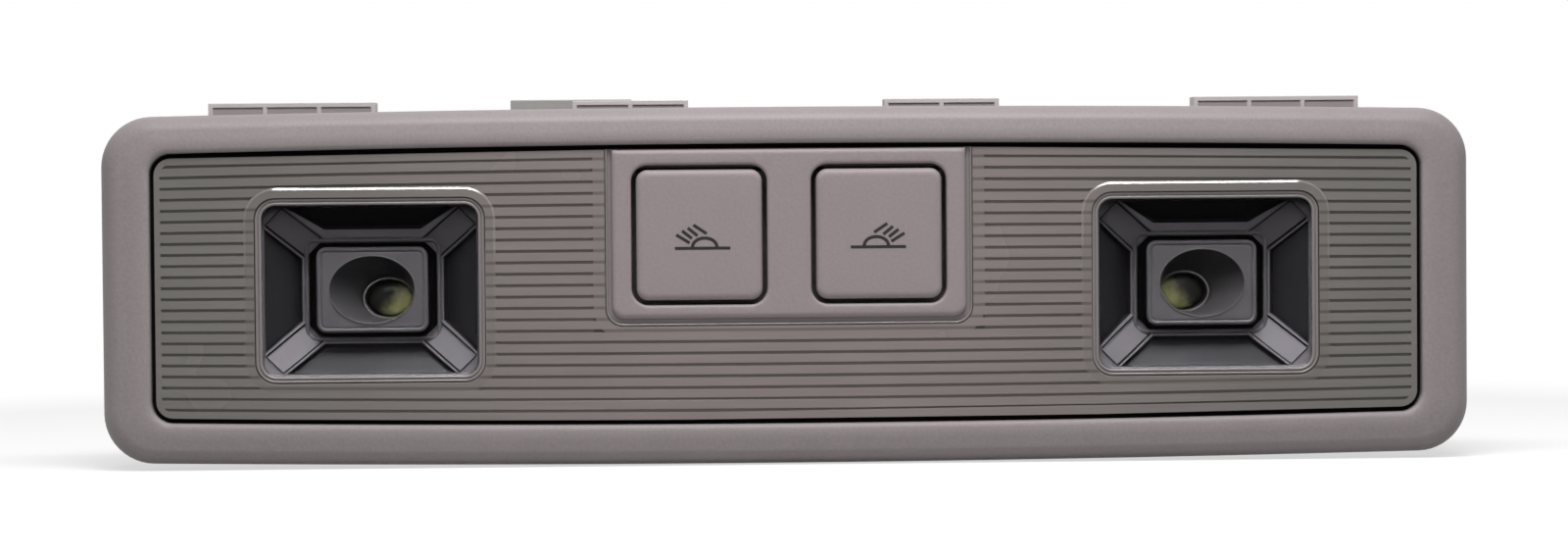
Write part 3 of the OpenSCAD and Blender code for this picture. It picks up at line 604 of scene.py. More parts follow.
class Look:
    """Every finish of the lamp, apart from the two phosphor lenses."""

    BEZEL = Grained("bezel_grain", (132, 124, 125), 0.5, 0.035, 0.34, 0.1)
    PLATE = Grained("plate_grain", (135, 125, 127), 0.5, 0.03, 0.24, 0.06)
    HOUSING = Grained("housing_plastic", (188, 180, 180), 0.8, 0.012, 0.08)
    # Painted shade: a darker copy of the housing plastic for the tabs' cells.
    WEB = Grained("tab_web", (150, 142, 142), 0.8, 0.012, 0.1)
    HEADER = Grained("header_plastic", (151, 149, 147), 0.7, 0.01, 0.06)
    WHITE = Grained("white_moulding", (226, 225, 221), 0.8, 0.008, 0.04)
    BLACK = Grained("black_moulding", (34, 34, 36), 0.5, 0.01, 0.2)
    NATURAL = Grained("natural_plastic", (228, 222, 208), 0.6, 0.006, 0.04)
    # Painted shade: near-black strip put in the gap between the bezel and the lens.
    SEAL = Grained("dark_seal", (16, 15, 16), speckle=0.3, roughness=0.8, specular=0.1)
    FRAME = Grained("pane_frame", (122, 116, 115), 0.5, 0.004, 0.1, 0.1, 0.16, 0.5)
    PACKAGE = Grained("light_package", (214, 212, 186), 0.3, 0.005, 0.05)
    # Lens colours: the first, for the middle, is painted lighter than the ends as painted light.
    LENS = SmokedLens("smoked_lens", (126, 117, 115), (110, 107, 104))
    GLOSS = SmokedLens("lens_shoulder", (122, 113, 111), (108, 105, 102), 0.14, 0.045, True)
    PANE = ClearPane("clear_pane", (236, 236, 238))
    # In these two finishes the light tone also paints highlights; on the bowl, the dark tone paints shade on its upper
    # part.
    WELL = Well("lamp_well", (105, 102, 104), (32, 32, 35), (134, 130, 133))
    BOWL = Well("lamp_bowl", (78, 76, 76), (38, 38, 39), (172, 169, 168))
    BOARD = CoatedBoard("coated_board", (46, 104, 68), (88, 146, 92))
    INK = Print("button_ink", (38, 36, 38))
    STEEL = Metal("spring_steel", (190, 192, 194))
    SCREW = Metal("screw_steel", (182, 182, 178), 0.38, (1, 0.15, 1))
    BRASS = Metal("plated_pins", (206, 184, 122), 0.28)
    CAN = Metal("drawn_can", (196, 198, 202), 0.3, (0.1, 1, 0.1))


@dataclass(frozen=True)
class Outline:
    """A rounded rectangle on the face, in millimetres, whose long edges may bulge."""

    half_w: float
    half_h: float
    radius: float
    x: float = 0.0
    y: float = 0.0
    bulge: float = 0.0

    def inset(self, distance: float) -> Outline:
        """Move the outline inwards, or outwards by a negative distance."""
        radius = max(LEAST_RADIUS, self.radius - distance)
        return replace(self, half_w=self.half_w - distance, half_h=self.half_h - distance, radius=radius)

    def towards(self, other: Outline, share: float) -> Outline:
        """Blend with another outline: 0 is this one, and 1 is the other."""
        names = ("half_w", "half_h", "radius", "x", "y", "bulge")
        return Outline(*(getattr(self, n) * (1 - share) + getattr(other, n) * share for n in names))

    def around(self, section: Section, sign: int = 1) -> list[Station]:
        """Run a section round the outline.

        Args:
            section: Pairs of an inset and a height.
            sign: -1 where the section counts outwards.

        Returns:
            The sections of a loft.
        """
        return [(self.inset(sign * inset), z) for inset, z in section]


@dataclass(frozen=True)
class Oval:
    """An oval on the face, in millimetres."""

    half_w: float
    half_h: float
    x: float = 0.0
    y: float = 0.0
    steps: int = 64


Station = tuple[Outline | Oval, float]


def add_object(name: str, data: bpy.types.ID) -> bpy.types.Object:
    """Add an object to the scene."""
    obj = bpy.data.objects.new(name, data)
    bpy.context.scene.collection.objects.link(obj)
    return obj


def add_mesh(name: str, bm: bmesh.types.BMesh, material: bpy.types.Material) -> bpy.types.Object:
    """Add an object made of a mesh under construction.

    Args:
        name: The object's name.
        bm: The mesh, which is freed.
        material: Its finish.

    Returns:
        The object.
    """
    mesh = bpy.data.meshes.new(name)
    bm.to_mesh(mesh)
    bm.free()
    mesh.materials.append(material)
    return add_object(name, mesh)


def settle(
    bm: bmesh.types.BMesh, name: str, finish: Finish, slot: str, sharp: float, body: str
) -> bpy.types.Object:
    """Make an object of a mesh in the shared frame, shade it and let it ride on its body.

    Args:
        bm: The mesh, in metres.
        name: The object's name.
        finish: How it looks.
        slot: The record's material slot.
        sharp: Edges that turn by more than this many degrees stay sharp.
        body: The moving body that it rides on.

    Returns:
        The object.
    """
    obj = add_mesh(name, bm, finish.material())
    obj.data.shade_smooth()
    obj.data.set_sharp_from_angle(angle=math.radians(sharp))
    weighted = obj.modifiers.new("weighted_normals", "WEIGHTED_NORMAL")
    weighted.keep_sharp = True
    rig.ride(obj, body)
    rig.slot(obj, slot)
    LOG.info("%s: %d faces", name, len(obj.data.polygons))
    return obj


class Piece:
    """A mesh under construction on the lamp's face, in millimetres.

    Every join draws its own two sections, because bridging goes astray where a section already carries
    faces. The doubles are merged when the piece is built.
    """

    def __init__(self, name: str, arc: int = 8, long: int = 20, short: int = 6) -> None:
        """Start an empty mesh.

        Args:
            name: The finished object's name.
            arc: Segments of each rounded corner.
            long: Cuts along the edges that run left to right.
            short: Cuts along the edges that run up and down.
        """
        self.name = name
        self.cuts = (arc, long, short)
        self.plain_sections: tuple[int, ...] = ()
        self.bm = bmesh.new()

    def draw(self, station: Station, plain: bool = False) -> Edges:
        """Draw one section of a loft as a closed loop of edges."""
        shape, z = station
        return self.oval(shape, z) if isinstance(shape, Oval) else self.ring(shape, z, plain)

    def ring(self, outline: Outline, z: float, plain: bool) -> Edges:
        """Draw an outline as a closed loop of edges.

        Args:
            outline: The outline.
            z: Its height.
            plain: Whether its corners are chamfered and its edges undivided.

        Returns:
            The loop.
        """
        arc, long, short = (1, 0, 0) if plain else self.cuts
        bm = self.bm
        edges_before, faces_before = set(bm.edges), set(bm.faces)
        corners = bmesh.ops.create_grid(bm, x_segments=1, y_segments=1, size=1.0)["verts"]
        reach = max(v.co.x for v in corners)
        bmesh.ops.scale(bm, vec=(outline.half_w / reach, outline.half_h / reach, 1), verts=corners)
        bmesh.ops.bevel(
            bm, geom=corners, offset=outline.radius, offset_type="OFFSET", segments=arc,
            profile=0.5, affect="VERTICES", material=-1,
        )
        edges = [e for e in bm.edges if e not in edges_before]
        nearly = 2 * 0.98
        flat = nearly * (outline.half_w - outline.radius)
        upright = nearly * (outline.half_h - outline.radius)
        lying = [e for e in edges if abs(e.verts[0].co.x - e.verts[1].co.x) > flat]
        standing = [e for e in edges if abs(e.verts[0].co.y - e.verts[1].co.y) > upright]
        bmesh.ops.delete(bm, geom=[f for f in bm.faces if f not in faces_before], context="FACES_ONLY")
        for chosen, cuts in ((lying, long), (standing, short)):
            if cuts:
                bmesh.ops.subdivide_edges(bm, edges=chosen, cuts=cuts)
        edges = [e for e in bm.edges if e not in edges_before]
        for vert in {v for e in edges for v in e.verts}:
            share = vert.co.x / outline.half_w
            swell = 1 + outline.bulge / outline.half_h * (1 - share * share)
            vert.co = Vector((outline.x + vert.co.x, outline.y + vert.co.y * swell, z))
        return edges

    def oval(self, shape: Oval, z: float) -> Edges:
        """Draw an oval as a closed loop of edges.

        Args:
            shape: The oval.
            z: Its height.

        Returns:
            The loop.
        """
        before = set(self.bm.edges)
        verts = bmesh.ops.create_circle(self.bm, cap_ends=False, segments=shape.steps, radius=1.0)["verts"]
        bmesh.ops.scale(self.bm, vec=(shape.half_w, shape.half_h, 1), verts=verts)
        bmesh.ops.translate(self.bm, vec=(shape.x, shape.y, z), verts=verts)
        return [e for e in self.bm.edges if e not in before]

    def loft(self, stations: Sequence[Station], closed: bool = False) -> Faces:
        """Join sections one after another.

        Args:
            stations: The sections.
            closed: Whether the last joins the first.

        Returns:
            The new faces.
        """
        pairs = list(zip(stations, stations[1:])) + ([(stations[-1], stations[0])] if closed else [])
        return [face for first, second in pairs for face in self.join(first, second)]

    @contextmanager
    def plain(self, *which: int) -> Iterator[None]:
        """Draw outlines with chamfered corners and undivided edges for a while.

        Args:
            which: The sections of each join, 0 and 1, that are drawn so.
        """
        self.plain_sections = which
        yield
        self.plain_sections = ()

    def join(self, *pair: Station) -> Faces:
        """Join two sections."""
        edges = [e for n, station in enumerate(pair) for e in self.draw(station, n in self.plain_sections)]
        return bmesh.ops.bridge_loops(self.bm, edges=edges)["faces"]

    def cap(self, station: Station) -> None:
        """Close a section with one face."""
        bmesh.ops.contextual_create(self.bm, geom=self.draw(station))

    def fill(self, stations: Iterable[Station]) -> None:
        """Close the flat space between an outer section and the sections inside it."""
        edges = [e for station in stations for e in self.draw(station)]
        bmesh.ops.triangle_fill(self.bm, use_beauty=True, use_dissolve=False, edges=edges)

    def slab(self, size: Sequence[float], centre: Sequence[float], turn: float = 0.0) -> None:
        """Add a block.

        Args:
            size: Its length, height and thickness.
            centre: Its middle.
            turn: How far it is turned about z, in radians.
        """
        verts = bmesh.ops.create_cube(self.bm, size=1.0)["verts"]
        bmesh.ops.scale(self.bm, vec=tuple(size), verts=verts)
        bmesh.ops.rotate(self.bm, cent=(0, 0, 0), matrix=Matrix.Rotation(turn, 3, "Z"), verts=verts)
        bmesh.ops.translate(self.bm, vec=tuple(centre), verts=verts)

    def build(self, finish: Finish, slot: str, sharp: float = 40.0, body: str = LAMP) -> bpy.types.Object:
        """Finish the mesh and stand it up into the shared frame.

        Args:
            finish: How it looks.
            slot: The record's material slot.
            sharp: Edges that turn by more than this many degrees stay sharp.
            body: The moving body that it rides on.

        Returns:
            The object.
        """
        bmesh.ops.remove_doubles(self.bm, verts=self.bm.verts, dist=0.001)
        bmesh.ops.recalc_face_normals(self.bm, faces=self.bm.faces)
        bmesh.ops.transform(self.bm, matrix=STAND_UP, verts=self.bm.verts)
        return settle(self.bm, self.name, finish, slot, sharp, body)


@dataclass(frozen=True)
class Face:
    """Sizes of the lamp's face in millimetres, as in the part's source."""

    bezel: Outline = Outline(116.5, 29.3, 8.4, 0, 0, 1.1)
    opening: Outline = Outline(108.0, 22.7, 3.6, 0, 0.35, 1.1)
    crest: float = 8.0
    side_h: float = 3.2
    shoulder: float = 0.46
    lens_face: float = 7.0
    lens_back: float = 5.0
    ledge_top: float = 4.0
    plate_face: float = 7.6
    button_face: float = 8.0
    button_x: float = 15.25
    board_top: float = -8.0
    window_x: float = 71.0
    window_y: float = -0.25
    groove_pitch: float = 1.86
    shoulder_top: float = 15.0
    border_x: float = 33.2
    border_y: float = -8.6

    def rail(self, share: float) -> Outline:
        """An outline on the bezel's rail: 0 is its outer edge, and 1 is the opening's edge."""
        return self.bezel.towards(self.opening, share)


FACE = Face()


@dataclass
class Bezel:
    """The grey frame round the face, hollow behind its crest, and a dark strip in the gap as painted shade."""

    ledge_w: float = 4.0
    ledge_back: float = 2.4
    skirt_depth: float = 2.4
    skirt_inner: float = 0.9
    skirt_outer: float = -0.7
    wall: float = 2.2
    rail_side: float = 8.5
    shoulder_drop: float = 0.35
    crest_line: Section = (
        (0.6, 0.12), (0.74, 0.0), (0.86, 0.03), (0.93, 0.14), (0.97, 0.36), (0.99, 0.62), (1, 0.95),
    )
    steps: int = 10

    def frame(self) -> bpy.types.Object:
        """The frame itself, lofted once round its section.

        Returns:
            The object.
        """
        piece = Piece("bezel_frame", arc=12, long=48, short=10)
        rise = FACE.crest - self.shoulder_drop - FACE.side_h
        foot = self.wall / self.rail_side
        hollow = FACE.crest - self.wall - 0.6
        stations: list[Station] = [(FACE.rail(0), 0), (FACE.rail(0), FACE.side_h - 0.5)]
        for step in range(self.steps + 1):
            turn = math.pi / 2 * step / self.steps
            share = FACE.shoulder * (1 - math.cos(turn))
            stations.append((FACE.rail(share), FACE.side_h + rise * math.sin(turn)))
        stations += [(FACE.rail(share), FACE.crest - drop) for share, drop in self.crest_line]
        stations += FACE.opening.around((
            (0, FACE.ledge_top), (self.ledge_w, FACE.ledge_top), (self.ledge_w, self.ledge_back),
            (self.skirt_inner, self.ledge_back), (self.skirt_inner, -self.skirt_depth),
            (self.skirt_outer, -self.skirt_depth), (self.skirt_outer, hollow),
        ))
        stations += [(FACE.rail(foot + 0.04), hollow), (FACE.rail(foot), 0)]
        piece.loft(stations, closed=True)
        return piece.build(Look.BEZEL, "bezel_plastic", 50)

    def seal(self) -> bpy.types.Object:
        """A dark strip that fills the bottom of the gap between the frame and the lens, put there as painted shade of
        the gap.

        Returns:
            The object.
        """
        piece = Piece("gap_seal", arc=8, long=48, short=8)
        low = FACE.ledge_top + 0.02
        section = ((0.03, low), (0.03, 5.7), (0.4, 5.5), (0.77, 5.7), (0.77, low))
        piece.loft(FACE.opening.around(section), closed=True)
        return piece.build(Look.SEAL, "black_plastic", 50)

    def build(self) -> None:
        """Make the frame and the dark strip of painted shade in its gap."""
        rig.replaces(self.frame(), "bezel")
        self.seal()


@dataclass
class SwitchPlate:
    """The raised plate round the push buttons, with rolled edges, and the trim in the gap round it."""

    outline: Outline = Outline(30.15, 14.4, 2.2, 0, 8.9)
    opening: Outline = Outline(30.8, 14.8, 2.5, 0, 8.5)
    hole: Outline = Outline(11.5, 11.85, 2.8, FACE.button_x, 8.7)

    @staticmethod
    def square_top(piece: Piece, outline: Outline) -> None:
        """Pull the upper corners of a piece out to nearly square, where they meet the bezel.

        Args:
            piece: The piece.
            outline: The outline whose corners they are.
        """
        edge, top = outline.half_w - outline.radius, outline.y + outline.half_h - outline.radius
        for vert in piece.bm.verts:
            over_x, over_y = abs(vert.co.x) - edge, vert.co.y - top
            if over_x > 0 and over_y > 0:
                reach = max(over_x, over_y) / max(1e-6, math.hypot(over_x, over_y))
                vert.co.x = math.copysign(edge + over_x / reach, vert.co.x)
                vert.co.y = top + over_y / reach

    def border(self) -> None:
        """Make the floor of the gap round the plate."""
        piece = Piece("plate_border", arc=8, long=12, short=8)
        low, high = 5.5, 6.7
        inner = self.outline.inset(0.12)
        outer = self.opening.inset(-0.04)
        piece.loft([(inner, low), (inner, high), (outer, high), (outer, low)], closed=True)
        self.square_top(piece, self.opening)
        piece.build(Look.FRAME, "smoked_lens", 50)

    def bead(self) -> None:
        """Make the bead along the gap's outer edge, pressed flat along the top."""
        piece = Piece("plate_bead", arc=8, long=24, short=12)
        piece.loft(self.opening.around((
            (0.0, 6.2), (0.0, 6.95), (0.06, 7.08), (0.17, 7.13), (0.28, 7.08), (0.34, 6.95), (0.34, 6.2),
        ), -1), closed=True)
        self.square_top(piece, self.opening)
        top = self.opening.y + self.opening.half_h
        for vert in piece.bm.verts:
            vert.co.y = min(vert.co.y, top + 0.04 * (vert.co.y - top))
        piece.build(Look.FRAME, "smoked_lens", 50)

    def build(self) -> None:
        """Make the plate from sections round its edge and round its two holes, then its trim."""
        piece = Piece("switch_plate_face", arc=8, long=12, short=8)
        top, back, foot = FACE.plate_face, 5.4, 2.6
        rims = self.outline.around((
            (0.0, back), (0.0, 6.6), (0.03, 6.88), (0.14, 7.16), (0.36, 7.4), (0.68, 7.55), (1.0, top),
        ))
        piece.loft(rims)
        lips = ((0.55, top), (0.25, 7.5), (0.06, 7.3), (0.0, 7.05), (0.0, foot), (0.9, foot), (0.9, back))
        holes = [replace(self.hole, x=side.value * self.hole.x).around(lips, -1) for side in Side]
        for hole in holes:
            piece.loft(hole)
        piece.fill([rims[-1]] + [hole[0] for hole in holes])
        piece.fill([rims[0]] + [hole[-1] for hole in holes])
        self.square_top(piece, self.outline)
        plate = piece.build(Look.PLATE, "plate_plastic", 45)
        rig.replaces(plate, "switch_plate")
        self.border()
        self.bead()


@dataclass
class PushButton:
    """A push button with softly rolled edges, its stem, and the sign printed on it."""

    side: Side
    outline: Outline = Outline(10.7, 11.05, 2.0, FACE.button_x, 8.7)
    wall: float = 1.5
    stem_r: float = 2.4
    stem_foot: float = FACE.board_top + 6.2
    print_w: float = 0.54
    print_h: float = 0.02

    @property
    def cap(self) -> Outline:
        """The cap's outline on its own side of the lamp."""
        return replace(self.outline, x=self.side.value * self.outline.x)

    def body(self) -> bpy.types.Object:
        """The cap, hollow behind, with the stem that reaches the switch.

        Returns:
            The object.
        """
        piece = Piece(f"push_button_{self.side.word}", arc=8, long=8, short=8)
        top = FACE.button_face
        stations = self.cap.around((
            (self.wall, top - self.wall), (self.wall, 2.5), (0, 2.5), (0, top - 1.05), (0.05, top - 0.75),
            (0.2, top - 0.42), (0.45, top - 0.2), (0.8, top - 0.07), (1.25, top - 0.01), (4.5, top),
        ))
        piece.loft(stations)
        piece.cap(stations[-1])
        stem = Oval(self.stem_r, self.stem_r, self.cap.x, self.cap.y, 32)
        piece.loft([(stem, top - self.wall), (stem, self.stem_foot)])
        piece.cap((stem, self.stem_foot))
        piece.fill([stations[0], (stem, top - self.wall)])
        return piece.build(Look.PLATE, "plate_plastic", 45, self.side.key_body)

    def sign(self) -> bpy.types.Object:
        """A lamp over a line, with four rays of light that lean outboard.

        Returns:
            The object.
        """
        piece = Piece(f"button_sign_{self.side.word}")
        out = self.side.value
        z = FACE.button_face + 0.012
        x, y = out * 14.9 + 0.2, 6.45
        piece.slab((9.4, 0.52, self.print_h), (x, y, z))
        self._dome(piece, (x + out * -0.35, y + 0.2), z)
        rays = (
            ((1.55, 3.95), (-0.7, 2.45)), ((2.5, 3.45), (0.85, 2.1)),
            ((3.45, 2.95), (1.8, 1.65)), ((4.45, 2.3), (2.2, 0.9)),
        )
        for ray in rays:
            start, end = (Vector((x + out * across, y + up)) for across, up in ray)
            run = end - start
            size = (run.length, self.print_w, self.print_h)
            piece.slab(size, (*(start + end) / 2, z), math.atan2(run.y, run.x))
        return piece.build(Look.INK, "black_plastic", 60, self.side.key_body)

    def _dome(self, piece: Piece, foot: Pair, z: float) -> None:
        """Add the arched outline of the lamp in the sign, cut off at its foot.

        Args:
            piece: The sign.
            foot: The middle of the lamp's foot.
            z: The height of the print's middle.
        """
        bm = piece.bm
        before = set(bm.verts)
        outer, inner = Oval(2.35, 1.8, *foot, 40), Oval(1.78, 1.24, *foot, 40)
        low, high = z - self.print_h / 2, z + self.print_h / 2
        piece.loft([(inner, low), (outer, low), (outer, high), (inner, high)], closed=True)
        bmesh.ops.remove_doubles(bm, verts=[v for v in bm.verts if v not in before], dist=0.0005)
        verts = [v for v in bm.verts if v not in before]
        edges = list({e for v in verts for e in v.link_edges})
        faces = list({f for v in verts for f in v.link_faces})
        bmesh.ops.bisect_plane(
            bm, geom=verts + edges + faces, plane_co=(0, foot[1], 0), plane_no=(0, -1, 0), clear_outer=True
        )
        bmesh.ops.holes_fill(bm, edges=[e for e in bm.edges if len(e.link_faces) == 1], sides=0)

    def build(self) -> None:
        """Make the button and its sign."""
        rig.replaces(self.body(), f"button_{self.side.word}")
        self.sign()


@dataclass
class TabWebs:
    """Thin webs that close the fronts of the hook tabs' cells, a little behind their ribs, in a darker copy of the
    housing plastic as painted shade.
    """

    tabs: tuple[Pair, ...] = ((70.6, 99.2), (16.9, 36.8))
    side_gap: float = 0.4
    low: float = 25.3
    high: float = 31.15
    front: float = -3.2
    back: float = -4.5

    def build(self) -> None:
        """Add one web to each of the four tabs."""
        piece = Piece("hook_tab_webs")
        height, thickness = self.high - self.low, self.front - self.back
        y, z = (self.high + self.low) / 2, (self.front + self.back) / 2
        for side in Side:
            for start, end in self.tabs:
                length = end - start - 2 * self.side_gap
                piece.slab((length, height, thickness), (side.value * (start + end) / 2, y, z))
        piece.build(Look.WEB, "housing_plastic")


@dataclass
class ReadingLamp:
    """One window: a clear pane over a dark stepped well with a leaning bowl in its boss."""

    side: Side
    window: Outline = Outline(18.3, 14.5, 2.4)
    lip: float = 0.2
    lap: float = 0.3
    mouth_z: float = FACE.lens_back - 0.35
    foot: Pair = (11.8, 8.95)
    foot_z: float = 0.2
    boss: Outline = Outline(9.5, 7.3, 1.7)
    boss_z: float = 2.5
    moat_z: float = -2.8
    wall: float = 1.2
    corner: float = 3.45
    bowl: Pair = (7.2, 5.7)
    bowl_steps: int = 9
    hole_share: float = 0.56
    hole_z: float = -2.7
    tube_z: float = -6.3
    lean: float = 2.5
    drop: float = 1.6
    recess: float = 0.95
    shelf: float = 1.1
    shelf_tilt: float = 0.45
    package_r: float = 2.3
    dome_z: float = -5.4
    dome_h: float = 1.3
    dome_steps: int = 7

    @property
    def centre(self) -> Pair:
        """The middle of the window on the face."""
        return self.side.value * FACE.window_x, FACE.window_y

    def placed(self, outline: Outline) -> Outline:
        """Move an outline to the window's middle."""
        return replace(outline, x=self.centre[0], y=self.centre[1])

    def pane(self) -> bpy.types.Object:
        """The clear pane, dished inside its frame.

        Returns:
            The object.
        """
        piece = Piece(f"pane_{self.side.word}", arc=10, long=12, short=10)
        steps = ((-0.1, FACE.lens_back), (-0.1, 6.45), (0.35, 6.3), (1.1, 6.18), (2.6, 6.14))
        stations = self.placed(self.window).around(steps)
        piece.loft(stations)
        piece.cap(stations[0])
        piece.cap(stations[-1])
        return piece.build(Look.PANE, "clear_pane", 60)

    def frame(self) -> bpy.types.Object:
        """The two smoked beads that run round the pane, with a groove between them.

        Returns:
            The object.
        """
        piece = Piece(f"pane_frame_{self.side.word}", arc=10, long=24, short=20)
        steps = (
            (1.1, FACE.lens_back), (1.1, 6.7), (1.02, 6.84), (0.85, 6.9), (0.68, 6.84), (0.6, 6.66),
            (0.52, 6.66), (0.44, 6.84), (0.28, 6.92), (0.1, 6.86), (0.0, 6.7), (-0.02, 6.4),
            (0.12, FACE.lens_back),
        )
        piece.loft(self.placed(self.window).around(steps, -1), closed=True)
        return piece.build(Look.FRAME, "smoked_lens", 60)

    def shoulder(self) -> bpy.types.Object:
        """The smooth border of the lens round the window, lower below, with a gentle slope at its edge.

        Returns:
            The object.
        """
        piece = Piece(f"lens_shoulder_{self.side.word}", arc=12, long=36, short=30)
        low, high = FACE.lens_face - 0.12, FACE.lens_face + 0.2
        steps = (
            (1.2, low), (1.2, high - 0.1), (1.3, high), (2.5, high), (2.56, high - 0.01),
            (2.94, high - 0.236), (3.0, low),
        )
        piece.loft(self.placed(self.window).around(steps, -1), closed=True)
        for vert in piece.bm.verts:
            above = (vert.co.y - self.centre[1] + 4.0) / 12.0
            if vert.co.z > low:
                vert.co.z = low + (vert.co.z - low) * min(1.0, max(0.42, above))
        return piece.build(Look.GLOSS, "smoked_lens", 16)

    def _below(self, face: bmesh.types.BMFace) -> bool:
        """Whether a face lies below the window's middle."""
        return face.calc_center_median().y < self.centre[1]

    def _rim(self, bm: bmesh.types.BMesh, faces: Faces, thickness: float, depth: float) -> Faces:
        """Inset each face by itself and return the rims."""
        return bmesh.ops.inset_individual(bm, faces=faces, thickness=thickness, depth=depth)["faces"]

    def _paint(self, bm: bmesh.types.BMesh, faces: Faces, tone: float, above: float) -> None:
        """Mark faces with a tone.

        Args:
            bm: The well's mesh.
            faces: The faces.
            tone: Their mark.
            above: What a light tone is multiplied by above the window's middle, so that light tones below it are
                painted light.
        """
        mark = bm.faces.layers.float[Mark.LAYER]
        for face in faces:
            face[mark] = tone if self._below(face) or tone > 0 else tone * above

    def _slopes(self, piece: Piece) -> tuple[Station, Station]:
        """Four slopes with recessed panels, and four corner struts with raised edges; the struts' grooves are painted
        nearly black as painted shade, and their bands are painted light below the middle.

        Args:
            piece: The well, whose faces have the layer of marks.

        Returns:
            The upper and the lower section.
        """
        bm = piece.bm
        upper = (self.placed(replace(self.window.inset(self.lip), radius=self.corner)), self.mouth_z)
        lower = (self.placed(Outline(*self.foot, self.corner)), self.foot_z)
        with piece.plain(0, 1):
            faces = piece.loft([upper, lower])
        slopes = [f for f in faces if min(e.calc_length() for e in f.edges) > self.corner * 1.55]
        struts = [f for f in faces if f not in slopes]
        bmesh.ops.recalc_face_normals(bm, faces=faces)
        if faces[0].normal.z < 0:
            bmesh.ops.reverse_faces(bm, faces=faces)
        self._panels(bm, slopes)
        # Painted light: light tones on the upper struts keep only 0.3 of their strength.
        above = 0.3
        steps = ((0.04, 0.28, Mark.BODY), (0.26, 0.0, Mark.BAND), (0.4, -0.55, Mark.STRUT_GROOVE))
        for thickness, depth, tone in steps:
            rims = self._rim(bm, struts, thickness, depth)
            for face in struts:
                self._lengthen(face, thickness - 0.01)
            self._paint(bm, rims, tone, above)
        self._paint(bm, struts, Mark.STRUT_FLOOR, above)
        return upper, lower

    def _panels(self, bm: bmesh.types.BMesh, slopes: Faces) -> None:
        """Give each slope a raised band with a recessed panel in it; the upper panel is painted darkest as painted
        shade, and light tones above the middle are dimmed, as painted light below.

        Args:
            bm: The well's mesh.
            slopes: The four slopes.
        """
        before = set(bm.verts)
        # Painted light: light tones on the upper panels keep 0.7 of their strength.
        above = 0.7
        steps = ((0.06, 0.2, Mark.BODY), (0.2, 0.04, Mark.BAND), (0.1, -0.24, Mark.BAND))
        for thickness, depth, tone in steps:
            self._paint(bm, self._rim(bm, slopes, thickness, depth), tone, above)
        for face in slopes:
            self._raise_foot(face)
        self._paint(bm, self._rim(bm, slopes, 0.08, -self.recess), Mark.BODY, above)
        middle = (self.mouth_z + self.foot_z) / 2
        for vert in [v for v in bm.verts if v not in before and v.co.z > middle]:
            self._reach_window(vert)
        mark = bm.faces.layers.float[Mark.LAYER]
        for face in slopes:
            up = face.calc_center_median().y - self.centre[1]
            # Painted shade: the upper panel, which faces down, is marked nearly black.
            face[mark] = Mark.UPPER_PANEL if up > self.foot[1] else Mark.PANEL
            for edge in face.edges:
                for wall in edge.link_faces:
                    wall[mark] = max(wall[mark], Mark.PANEL)

    @staticmethod
    def _lengthen(face: bmesh.types.BMFace, reach: float) -> None:
        """Move both ends of a strut's face outwards along the strut.

        Args:
            face: The face.
            reach: How far each end moves.
        """
        ends = sorted(face.verts, key=lambda vert: vert.co.z)
        half = len(ends) // 2
        low = sum((vert.co for vert in ends[:half]), Vector()) / half
        high = sum((vert.co for vert in ends[half:]), Vector()) / (len(ends) - half)
        step = (high - low).normalized() * reach
        for index, vert in enumerate(ends):
            vert.co += step if index >= half else -step

    def _raise_foot(self, face: bmesh.types.BMFace) -> None:
        """Leave a shelf between the upper panel's foot and the ridge, which its band mark paints pale as painted
        light.

        Args:
            face: A panel. Only the upper one changes.
        """
        if face.calc_center_median().y - self.centre[1] < self.foot[1]:
            return
        low = sorted(face.verts, key=lambda vert: vert.co.z)[:2]
        rise = (self.mouth_z - self.foot_z) / (self.window.half_h - self.lip - self.foot[1])
        for vert in low:
            vert.co += Vector((0, self.shelf, self.shelf * rise * self.shelf_tilt))

    def _reach_window(self, vert: bmesh.types.BMVert) -> None:
        """Slide a point at the top of a panel outwards, until it lies under the edge of the window.

        Args:
            vert: The point.
        """
        halves = (self.window.half_w, self.window.half_h)
        offset = [vert.co[axis] - self.centre[axis] for axis in (0, 1)]
        axis = 0 if halves[0] - abs(offset[0]) < halves[1] - abs(offset[1]) else 1
        run = halves[axis] - self.lip - self.foot[axis]
        gap = max(0.0, halves[axis] - self.lap - abs(offset[axis]))
        vert.co[axis] += math.copysign(gap, offset[axis])
        vert.co.z += gap * (self.mouth_z - self.foot_z) / run

    def well(self) -> bpy.types.Object:
        """The dark well: flange, slopes with recessed panels, struts, ridge, moat and boss, closed behind, with
        painted shade in the moat and painted highlights at its corners.

        Returns:
            The object.
        """
        piece = Piece(f"lamp_well_{self.side.word}", arc=6, long=10, short=8)
        piece.bm.faces.layers.float.new(Mark.LAYER)
        upper, lower = self._slopes(piece)
        mark = piece.bm.faces.layers.float[Mark.LAYER]
        top = FACE.lens_back - 0.02
        rim = ((-0.12, 4.8), (0.0, top), (1.3, top), (1.3, 3.8), (1.15, 3.7))
        flange = self.placed(self.window).around(rim, -1)
        with piece.plain(0):
            joined = piece.join(upper, flange[0])
        for face in joined:
